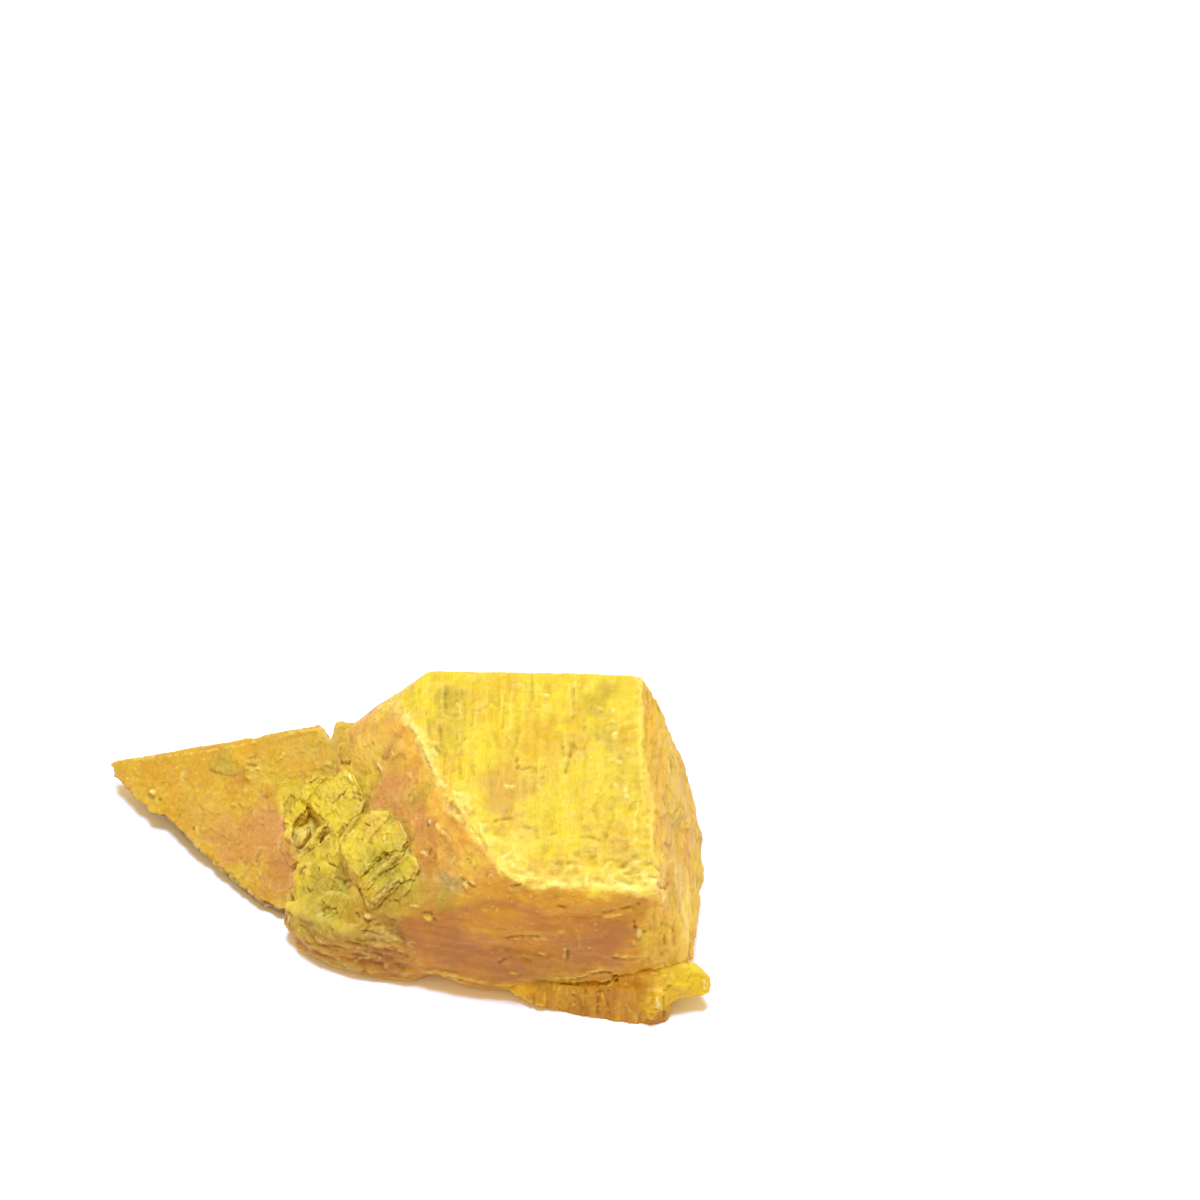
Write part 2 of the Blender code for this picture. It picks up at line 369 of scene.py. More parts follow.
def to_row_frame(shape: Shape) -> None:
    """Brings a bmesh from the design frame, in millimetres, to the model's frame, in metres."""
    bmesh.ops.translate(shape, verts=shape.verts[:], vec=-Vector(DESIGN_CENTRE))
    bmesh.ops.scale(shape, verts=shape.verts[:], vec=(METRES_PER_MM,) * 3)


# ----------------------------------------
# Colours and marks


def srgb(red: int, green: int, blue: int) -> Point:
    """Returns the linear colour of an sRGB colour given as 0 to 255."""
    shares = (value / 255.0 for value in (red, green, blue))
    return tuple(s / 12.92 if s <= 0.04045 else ((s + 0.055) / 1.055) ** 2.4 for s in shares)


class Tint(Enum):
    """The colours of orpiment, from fresh cleavage to crusts, cracks and dust, and of painted glints and
    shade.
    """

    LEMON = srgb(212, 183, 40)
    STRAW = srgb(202, 168, 56)
    APRICOT = srgb(222, 170, 56)
    AMBER = srgb(200, 156, 30)
    GOLD = srgb(210, 160, 12)
    HONEY = srgb(198, 144, 38)
    SAND = srgb(194, 148, 64)
    CREAM = srgb(224, 196, 100)
    BUTTER = srgb(232, 202, 78)
    # Near-white painted glints.
    PAINTED_GLINT = srgb(240, 226, 160)
    TERRACOTTA = srgb(186, 124, 38)
    RUST = srgb(158, 96, 30)
    ROSE = srgb(164, 102, 54)
    PEACH = srgb(192, 130, 68)
    BRONZE = srgb(180, 122, 18)
    OLIVE = srgb(168, 140, 34)
    MOSS = srgb(160, 140, 36)
    SLATE = srgb(150, 132, 84)
    # Dark cracks, and also painted shade in hollows, crevices and on the tongue's lower side.
    UMBER = srgb(104, 74, 20)


class Face(Enum):
    """The stone's faces, each with its own relief and colour."""

    TOP = "top"
    RIGHT = "right"
    FRONT = "front"
    LIP = "lip"
    SLOPE = "slope"
    BACK = "back"
    TONGUE = "tongue"
    # The tongue's lower side, dressed dark umber as painted shade.
    PAINTED_SHADE_RIM = "rim"
    LEDGE = "ledge"
    NUB = "nub"
    CRUST = "crust"


@dataclass(frozen=True)
class Marks:
    """Narrow marks of one kind, such as raised flakes, cracks whose height is below zero, and painted glints,
    highlights and shade.

    Each one runs along a short course in the camera's square frame, FRAME_SIZE units across: how far right
    and how far down its first place is, then the next one's. The width and the height are in millimetres.
    """

    name: str
    tint: Tint
    strength: float
    width: float
    height: float
    courses: tuple[Course, ...]


@dataclass(frozen=True)
class Patch:
    """A soft-edged patch of one colour: its centre and its half width and height in the camera's frame."""

    tint: Tint
    strength: float
    across: int
    down: int
    half_width: int
    half_height: int


class Grain(Enum):
    """The shapes that a layer of noise takes."""

    WAVES = "waves"
    TREADS = "treads"
    BLOCKS = "blocks"


@dataclass(frozen=True)
class Layer:
    """One layer of noise over the stone, in millimetres.

    Waves are smooth, treads are waves turned into steps, each one riser high, and blocks are small facets
    whose edges are bent by noises of their own.
    """

    grain: Grain
    height: float
    size: Point
    seed: int
    octaves: int = 2
    riser: float = 0.4
    softness: float = 0.12
    bend: float = 0.3
    bend_size: float = 1.3
    bend_seeds: tuple[int, ...] = ()

    def over(self, points: Array) -> Array:
        """Works out the layer's height.

        Args:
            points: vertex positions.

        Returns:
            The height for each vertex.
        """
        if self.grain is Grain.BLOCKS:
            wander = [fractal_noise(points, (self.bend_size,) * 3, seed) for seed in self.bend_seeds]
            bent = points + self.bend * np.stack(wander, axis=1)
            return self.height * (cell_values(bent, self.size, self.seed) - 0.5)
        waves = fractal_noise(points, self.size, self.seed, self.octaves)
        if self.grain is Grain.TREADS:
            waves = terraces(waves, self.riser, self.softness)
        return self.height * waves


@dataclass(frozen=True)
class Mottle:
    """Scattered blots of one colour, which fade in where waves or blocks rise from low to high."""

    tint: Tint
    size: Point
    low: float
    high: float
    strength: float
    grain: Grain = Grain.WAVES
    bend: float = 0.25
    bend_size: float = 1.2

    def share_of(self, points: Array, seed: int) -> Array:
        """Finds how much of the colour each vertex takes.

        Args:
            points: vertex positions.
            seed: which noise it reads.

        Returns:
            The share for each vertex.
        """
        height = 2.0 if self.grain is Grain.BLOCKS else 1.0
        bent = {"bend": self.bend, "bend_size": self.bend_size, "bend_seeds": (seed,)}
        level = Layer(self.grain, height, self.size, seed, **bent).over(points)
        return self.strength * Ramp(self.low, self.high).of(level)


@dataclass(frozen=True)
class Dress:
    """How one face is dressed: its main colour, a gain of painted light and shade for all its colours, its
    relief and its mottles.
    """

    tint: Tint
    gain: Point
    relief: tuple[Layer, ...]
    mottles: tuple[Mottle, ...]


@dataclass(frozen=True)
class Band:
    """A broken band of crumbs along a chipped edge; its pale tints are a painted highlight along the edge."""

    tint: Tint
    strength: float
    half_width: float
    height: float
    line: Line


# Places across and down in the camera's frame, typed from looking. A scratch program put them in groups, laid
# this table out, and averaged and scaled the strength, width and height of each group.
MARKS: tuple[Marks, ...] = (
    Marks("top_grooves", Tint.OLIVE, 0.38, 0.15, -0.07, (
        (436, 717, 445, 719, 453, 720), (445, 714, 457, 714), (477, 709, 491, 710, 504, 709),
        (477, 708, 485, 704, 490, 698, 497, 704, 504, 708), (445, 690, 446, 710), (450, 695, 451, 709),
        (456, 693, 457, 709), (414, 693, 415, 708), (420, 691, 419, 705), (456, 720, 457, 757),
        (453, 764, 452, 775, 450, 789), (460, 764, 461, 779), (474, 766, 474, 776), (443, 762, 444, 774),
        (494, 731, 495, 738, 498, 744), (516, 716, 517, 744), (427, 712, 430, 735), (440, 722, 441, 748),
        (532, 672, 532, 700), (574, 690, 573, 720), (586, 700, 585, 735), (580, 826, 584, 828),
        (575, 853, 583, 851, 590, 853), (598, 866, 599, 879), (606, 862, 607, 878), (447, 686, 446, 712),
        (455, 696, 453, 722), (439, 726, 445, 756), (505, 694, 502, 735), (562, 742, 566, 772),
    )),
    Marks("top_flakes", Tint.CREAM, 0.49, 0.21, 0.09, (
        (443, 686, 443, 709), (458, 731, 458, 757), (575, 672, 576, 700), (523, 758, 532, 761),
        (520, 774, 535, 776), (538, 787, 542, 789), (535, 710, 550, 712), (632, 721, 626, 723, 619, 728),
        (632, 748, 628, 752, 624, 757), (595, 708, 603, 712), (637, 803, 638, 812, 635, 818),
        (630, 850, 640, 849), (497, 826, 500, 822, 507, 821), (576, 850, 582, 843, 589, 842, 597, 848),
        (562, 858, 570, 856, 578, 860), (511, 845, 517, 858, 521, 866, 528, 873, 536, 880),
        (642, 866, 650, 871, 658, 877), (630, 880, 642, 883, 655, 887),
        (639, 677, 640, 720, 640, 770, 645, 810, 652, 850), (650, 818, 651, 840), (461, 690, 460, 716),
        (476, 700, 474, 742), (512, 690, 509, 738), (569, 686, 571, 716), (630, 880, 642, 874, 652, 866),
        (540, 874, 548, 868),
    )),
    Marks("top_stains", Tint.AMBER, 0.56, 0.3, -0.04, ((505, 734, 507, 743),)),
    Marks("top_cracks", Tint.UMBER, 0.31, 0.15, -0.12, (
        (464, 738, 465, 739), (541, 779, 543, 779), (571, 826, 572, 827),
        (521, 770, 532, 768, 538, 771, 545, 769), (629, 808, 633, 802, 640, 801),
        (572, 748, 569, 760, 566, 774), (571, 745, 577, 750), (494, 820, 505, 818, 516, 818),
        (524, 825, 530, 827, 536, 829), (531, 833, 537, 836), (551, 832, 556, 831),
        (578, 839, 585, 836, 592, 837, 599, 841), (603, 832, 607, 838), (545, 862, 556, 863, 568, 862),
        (608, 884, 618, 889, 628, 894), (639, 873, 649, 877, 659, 881), (651, 863, 656, 869, 660, 874),
        (618, 868, 628, 862, 636, 856), (560, 866, 568, 862, 576, 863), (590, 858, 600, 855),
    )),
    Marks("top_cracks", Tint.UMBER, 0.41, 0.21, -0.18, ((516, 759, 517, 761), (517, 765, 518, 768))),
    # Raised chips, coloured near-white as painted glints.
    Marks("top_chip_glints", Tint.PAINTED_GLINT, 0.65, 0.27, 0.13, (
        (506, 786, 512, 787), (540, 694, 548, 696), (457, 703, 458, 706), (612, 708, 613, 714),
        (613, 723, 617, 724), (615, 735, 616, 740), (614, 762, 619, 763), (614, 784, 617, 787),
        (625, 787, 626, 797), (632, 806, 637, 803), (634, 823, 635, 828), (635, 836, 636, 843),
        (553, 884, 557, 880, 562, 877), (586, 875, 587, 884), (614, 883, 624, 886, 633, 890),
        (658, 880, 661, 883), (622, 872, 632, 866, 640, 862), (606, 868, 612, 860), (646, 884, 656, 880),
        (566, 872, 572, 868, 580, 868),
    )),
    Marks("top_stains", Tint.LEMON, 0.56, 0.33, 0.08, ((597, 856, 600, 878), (607, 858, 608, 878))),
    Marks("top_cracks", Tint.UMBER, 0.2, 0.14, -0.16, ((436, 748, 440, 752), (648, 830, 648, 842))),
    Marks("ridge_flakes_and_highlight", Tint.CREAM, 0.26, 0.18, 0.05, ((405, 711, 450, 711, 500, 710, 550, 709),)),
    # Raised chips, coloured near-white as painted glints.
    Marks("ridge_chip_glints", Tint.PAINTED_GLINT, 0.65, 0.3, 0.16, (
        (500, 858, 508, 855), (510, 862, 514, 866), (412, 724, 417, 733), (419, 737, 423, 744),
        (429, 741, 436, 744), (425, 751, 429, 759), (433, 750, 437, 757), (431, 766, 435, 775),
        (440, 782, 446, 788), (453, 792, 460, 797), (452, 800, 459, 806), (465, 805, 474, 812),
        (478, 822, 482, 830),
    )),
    # Broad pale bands along the brow and the ridge, with no relief: a painted highlight along the edges.
    Marks("ridge_flakes_and_highlight", Tint.CREAM, 0.33, 0.67, 0, (
        (538, 882, 560, 881, 585, 880, 610, 882, 632, 886, 652, 886),
        (405, 713, 415, 728, 424, 744, 432, 762, 441, 780, 452, 795, 466, 809, 480, 824, 492, 840, 505, 856),
    )),
    # Dark dashes along the ridge: shallow grooves darkened as painted shade.
    Marks("ridge_crack_shade", Tint.UMBER, 0.19, 0.14, -0.15, (
        (424, 756, 428, 764, 431, 772), (447, 800, 456, 808, 463, 816), (472, 828, 480, 837, 486, 848),
        (447, 804, 452, 809, 457, 814),
    )),
    Marks("ridge_stains", Tint.TERRACOTTA, 0.64, 0.74, 0, ((447, 798, 454, 809, 462, 821),)),
    Marks("right_cracks", Tint.UMBER, 0.29, 0.22, -0.12, ((665, 880, 672, 886),)),
    Marks("right_grooves", Tint.OLIVE, 0.34, 0.14, -0.08, ((646, 703, 646, 740),)),
    Marks("right_flakes", Tint.CREAM, 0.46, 0.23, 0.11, (
        (665, 722, 672, 738, 677, 754), (667, 762, 665, 785), (678, 810, 676, 820), (687, 822, 685, 836),
        (662, 855, 665, 862, 671, 863, 675, 857),
    )),
    Marks("right_cracks", Tint.UMBER, 0.12, 0.14, -0.08, (
        (672, 757, 670, 778), (658, 755, 656, 790), (672, 816, 674, 812, 680, 809), (684, 818, 683, 834),
        (657, 826, 657, 832, 660, 838), (684, 856, 685, 868), (694, 883, 694, 895), (699, 840, 697, 849),
    )),
    Marks("front_flakes", Tint.CREAM, 0.48, 0.23, 0.11, (
        (617, 890, 628, 893), (671, 893, 674, 915), (686, 905, 685, 935), (531, 896, 538, 899),
        (604, 916, 622, 913), (616, 953, 632, 954), (565, 948, 564, 958), (560, 931, 564, 931),
        (514, 938, 518, 938), (540, 953, 544, 954), (634, 940, 639, 942), (657, 915, 658, 930),
        (655, 960, 663, 968), (495, 984, 504, 984),
    )),
    Marks("front_cracks", Tint.UMBER, 0.44, 0.2, -0.23, (
        (659, 888, 668, 888), (634, 921, 636, 929), (642, 928, 645, 931),
    )),
    Marks("front_cracks", Tint.UMBER, 0.19, 0.14, -0.15, (
        (680, 886, 681, 897), (676, 905, 679, 925), (692, 945, 693, 958), (664, 935, 666, 950),
        (506, 937, 520, 936, 538, 936), (512, 887, 521, 885), (603, 913, 613, 910, 622, 909, 639, 904),
        (558, 906, 566, 907), (614, 956, 628, 957, 639, 957),
    )),
    Marks("front_stains", Tint.RUST, 0.48, 0.14, -0.16, ((499, 961, 511, 956, 523, 957, 531, 960),)),
    Marks("front_stains", Tint.HONEY, 0.44, 0.21, 0.06, ((560, 910, 568, 911), (579, 935, 580, 946))),
    Marks("front_cracks", Tint.UMBER, 0.34, 0.14, -0.12, ((568, 950, 567, 960),)),
    # A raised chip, coloured near-white as a painted glint.
    Marks("front_chip_glints", Tint.PAINTED_GLINT, 0.68, 0.3, 0.2, ((639, 929, 639, 934),)),
    Marks("front_grooves", Tint.OLIVE, 0.42, 0.3, -0.1, ((648, 922, 650, 930),)),
    Marks("lip_stains", Tint.ROSE, 0.4, 0.23, -0.06, ((446, 920, 472, 920),)),
    Marks("lip_flakes_and_highlight", Tint.CREAM, 0.5, 0.21, 0.11, (
        # The first course is a painted highlight along the lip's lower edge.
        (423, 974, 436, 971, 451, 974, 465, 977, 478, 980, 489, 982),
        (363, 940, 371, 932, 382, 931, 392, 937, 400, 943), (318, 938, 336, 941),
        (355, 960, 368, 959, 380, 958), (385, 966, 386, 969), (416, 961, 420, 964),
        (309, 928, 315, 932, 319, 936), (291, 914, 290, 924, 290, 935), (411, 906, 420, 906),
        (343, 924, 352, 926, 362, 925), (320, 917, 325, 914, 329, 911), (327, 920, 331, 917, 336, 913),
    )),
    Marks("lip_cracks_and_shade", Tint.UMBER, 0.35, 0.17, -0.19, (
        # The first course is a painted shadow under the lip's pale lower edge.
        (424, 978, 436, 975, 451, 978, 465, 981, 478, 984, 489, 986), (364, 971, 368, 972),
        (356, 913, 360, 917), (362, 913, 364, 920, 369, 921),
    )),
    Marks("lip_cracks_and_shade", Tint.UMBER, 0.36, 0.16, -0.12, (
        # The first course, the scallop's arch, is painted shade.
        (362, 933, 370, 927, 380, 925, 390, 929, 397, 935, 404, 940),
        (316, 942, 325, 944, 338, 946, 355, 949, 366, 951), (366, 951, 376, 953, 385, 957, 393, 961),
        (360, 967, 372, 965, 382, 965), (405, 957, 412, 958, 417, 962), (305, 931, 312, 934, 318, 940),
        (286, 915, 286, 925, 287, 933), (422, 913, 430, 913, 435, 920), (315, 916, 320, 913, 325, 910),
        (330, 920, 334, 917, 339, 912), (325, 908, 333, 906, 339, 909),
    )),
    Marks("lip_stains", Tint.SAND, 0.6, 0.81, 0.11, ((380, 940, 400, 950), (411, 944, 412, 949))),
    Marks("lip_stains", Tint.LEMON, 0.72, 0.37, 0.16, ((425, 917, 430, 919),)),
    # A raised chip, coloured near-white as a painted glint.
    Marks("lip_chip_glints", Tint.PAINTED_GLINT, 0.52, 0.3, 0.14, ((366, 916, 368, 917),)),
    Marks("ledge_cracks_and_shade", Tint.UMBER, 0.44, 0.17, -0.23, (
        # The first course is painted shade where the front face overhangs the ledge.
        (560, 983, 576, 982, 589, 976, 604, 973, 612, 974, 616, 981), (615, 972, 617, 982),
    )),
    Marks("ledge_flakes", Tint.CREAM, 0.46, 0.22, 0.11, (
        (556, 979, 573, 980, 582, 977, 590, 972, 602, 969), (618, 974, 621, 982, 628, 985),
        (508, 987, 517, 994, 528, 999, 542, 1004), (573, 988, 573, 1006), (626, 1005, 630, 1012),
        (600, 986, 612, 984), (645, 1016, 657, 1017), (652, 972, 660, 975, 668, 976),
    )),
    Marks("ledge_stains", Tint.LEMON, 0.48, 0.25, 0.12, ((512, 972, 519, 973),)),
    Marks("ledge_stains", Tint.HONEY, 0.48, 0.44, 0.1, ((557, 996, 557, 1008),)),
    Marks("ledge_cracks_and_shade", Tint.UMBER, 0.27, 0.15, -0.12, (
        (607, 1002, 608, 1013), (597, 994, 609, 992), (586, 990, 584, 1010), (598, 1000, 597, 1015),
        (664, 998, 664, 1017),
    )),
    Marks("ledge_stains", Tint.GOLD, 0.72, 1.11, 0.1, ((652, 1002, 651, 1012),)),
    # A raised chip, coloured near-white as a painted glint.
    Marks("ledge_chip_glints", Tint.PAINTED_GLINT, 0.52, 0.23, 0.12, ((657, 998, 658, 1010),)),
    Marks("ledge_grooves", Tint.OLIVE, 0.42, 0.37, 0, ((669, 1000, 669, 1012),)),
    Marks("nub_stains", Tint.GOLD, 0.72, 0.67, 0.06, ((678, 986, 690, 987),)),
    Marks("nub_flakes", Tint.CREAM, 0.52, 0.23, 0.11, ((704, 981, 705, 990), (709, 982, 709, 988))),
    Marks("slope_cracks", Tint.UMBER, 0.18, 0.14, -0.14, (
        (466, 860, 474, 868), (461, 879, 468, 883, 476, 888), (362, 717, 371, 709, 380, 703),
    )),
    Marks("slope_cracks", Tint.UMBER, 0.36, 0.16, -0.2, ((428, 854, 430, 850),)),
    Marks("slope_flakes", Tint.CREAM, 0.51, 0.27, 0.16, (
        (393, 751, 394, 755), (343, 745, 344, 747), (441, 832, 446, 835), (463, 883, 466, 888),
        (468, 879, 473, 883),
    )),
    # Raised chips, coloured near-white as painted glints.
    Marks("slope_chip_glints", Tint.PAINTED_GLINT, 0.68, 0.28, 0.17, ((438, 826, 439, 829), (430, 822, 431, 824))),
    Marks("slope_cracks", Tint.UMBER, 0.41, 0.14, -0.16, ((427, 820, 428, 826, 433, 825),)),
    Marks("slope_stains", Tint.HONEY, 0.48, 0.3, 0.12, ((455, 862, 462, 866),)),
    Marks("slope_stains", Tint.TERRACOTTA, 0.64, 0.74, 0, ((504, 877, 520, 883, 538, 888),)),
    Marks("crust_cracks_and_shade", Tint.UMBER, 0.29, 0.17, -0.2, (
        (380, 757, 384, 759), (414, 783, 417, 782), (298, 874, 301, 870, 306, 867), (311, 877, 312, 879),
        (308, 889, 311, 893, 314, 891), (319, 869, 320, 871),
    )),
    Marks("crust_flakes", Tint.CREAM, 0.44, 0.24, 0.11, (
        (388, 757, 389, 759), (407, 773, 409, 776), (410, 800, 415, 794), (405, 851, 393, 860, 366, 885),
        (345, 838, 352, 831, 360, 826), (373, 901, 388, 889, 399, 880),
    )),
    # Raised chips, coloured near-white as painted glints.
    Marks("crust_chip_glints", Tint.PAINTED_GLINT, 0.65, 0.28, 0.15, (
        (376, 764, 380, 769), (422, 852, 426, 854), (349, 776, 350, 779), (384, 838, 385, 841),
    )),
    Marks("crust_cracks_and_shade", Tint.UMBER, 0.18, 0.14, -0.13, ((408, 797, 412, 791, 416, 788),)),
    Marks("crust_stains", Tint.RUST, 0.64, 0.3, -0.25, ((341, 763, 349, 764),)),
    # Dark lines along the plates' stepped edges and walls: grooves darkened as painted shade in the crevices.
    Marks("crust_cracks_and_shade", Tint.UMBER, 0.27, 0.16, -0.15, (
        (296, 822, 303, 815, 310, 809, 317, 817, 322, 822, 328, 829), (295, 835, 306, 828, 314, 819),
        (315, 839, 323, 830, 326, 825), (300, 789, 309, 783, 318, 778), (330, 804, 336, 797, 343, 791),
        (336, 797, 344, 789), (348, 792, 358, 793, 367, 798), (313, 804, 317, 808), (315, 795, 318, 799),
        (360, 843, 365, 837), (407, 841, 400, 848, 393, 851), (390, 851, 376, 865, 360, 878),
        (410, 852, 395, 861, 387, 870, 367, 885, 361, 890),
        (415, 874, 402, 883, 396, 883, 389, 892, 374, 903, 367, 902), (394, 885, 402, 878, 412, 881),
        (346, 866, 356, 881, 361, 892, 367, 903, 369, 908), (343, 883, 348, 888, 354, 886),
        (338, 878, 345, 882, 353, 880),
    )),
    Marks("crust_stains", Tint.LEMON, 0.64, 0.31, 0.08, (
        (299, 795, 310, 786, 321, 777), (325, 800, 336, 812),
    )),
    Marks("crust_stains", Tint.GOLD, 0.72, 0.3, -0.2, ((336, 833, 341, 828, 346, 825),)),
    Marks("tongue_flakes", Tint.CREAM, 0.51, 0.23, 0.11, (
        (124, 760, 150, 758, 180, 755, 210, 751, 240, 745, 268, 739), (268, 739, 300, 733, 322, 729),
        (246, 768, 252, 770), (256, 768, 262, 769), (245, 790, 249, 789), (232, 803, 236, 806),
        (197, 828, 199, 835), (279, 760, 284, 756), (259, 848, 266, 849), (279, 850, 280, 843),
        (253, 861, 257, 866, 260, 876, 256, 879), (268, 861, 268, 866),
        (212, 862, 225, 872, 240, 884, 255, 895, 263, 902), (266, 905, 275, 907, 284, 909),
        (196, 842, 205, 855),
    )),
    Marks("tongue_cracks", Tint.UMBER, 0.31, 0.15, -0.14, (
        (262, 740, 279, 737), (247, 764, 255, 765), (258, 790, 266, 797), (148, 795, 152, 798, 157, 796),
        (159, 799, 161, 800), (192, 827, 195, 829), (249, 758, 254, 756),
    )),
    Marks("tongue_stains", Tint.RUST, 0.56, 0.23, -0.1, ((210, 770, 222, 774, 233, 776),)),
    Marks("tongue_stains", Tint.LEMON, 0.56, 0.33, 0.11, ((247, 776, 253, 782), (236, 799, 243, 795))),
    # A raised chip, coloured near-white as a painted glint.
    Marks("tongue_chip_glints", Tint.PAINTED_GLINT, 0.75, 0.32, 0.18, ((152, 792, 154, 793),)),
    Marks("tongue_cracks", Tint.UMBER, 0.22, 0.12, -0.1, (
        (262, 849, 256, 862), (240, 858, 246, 864, 243, 872),
    )),
)

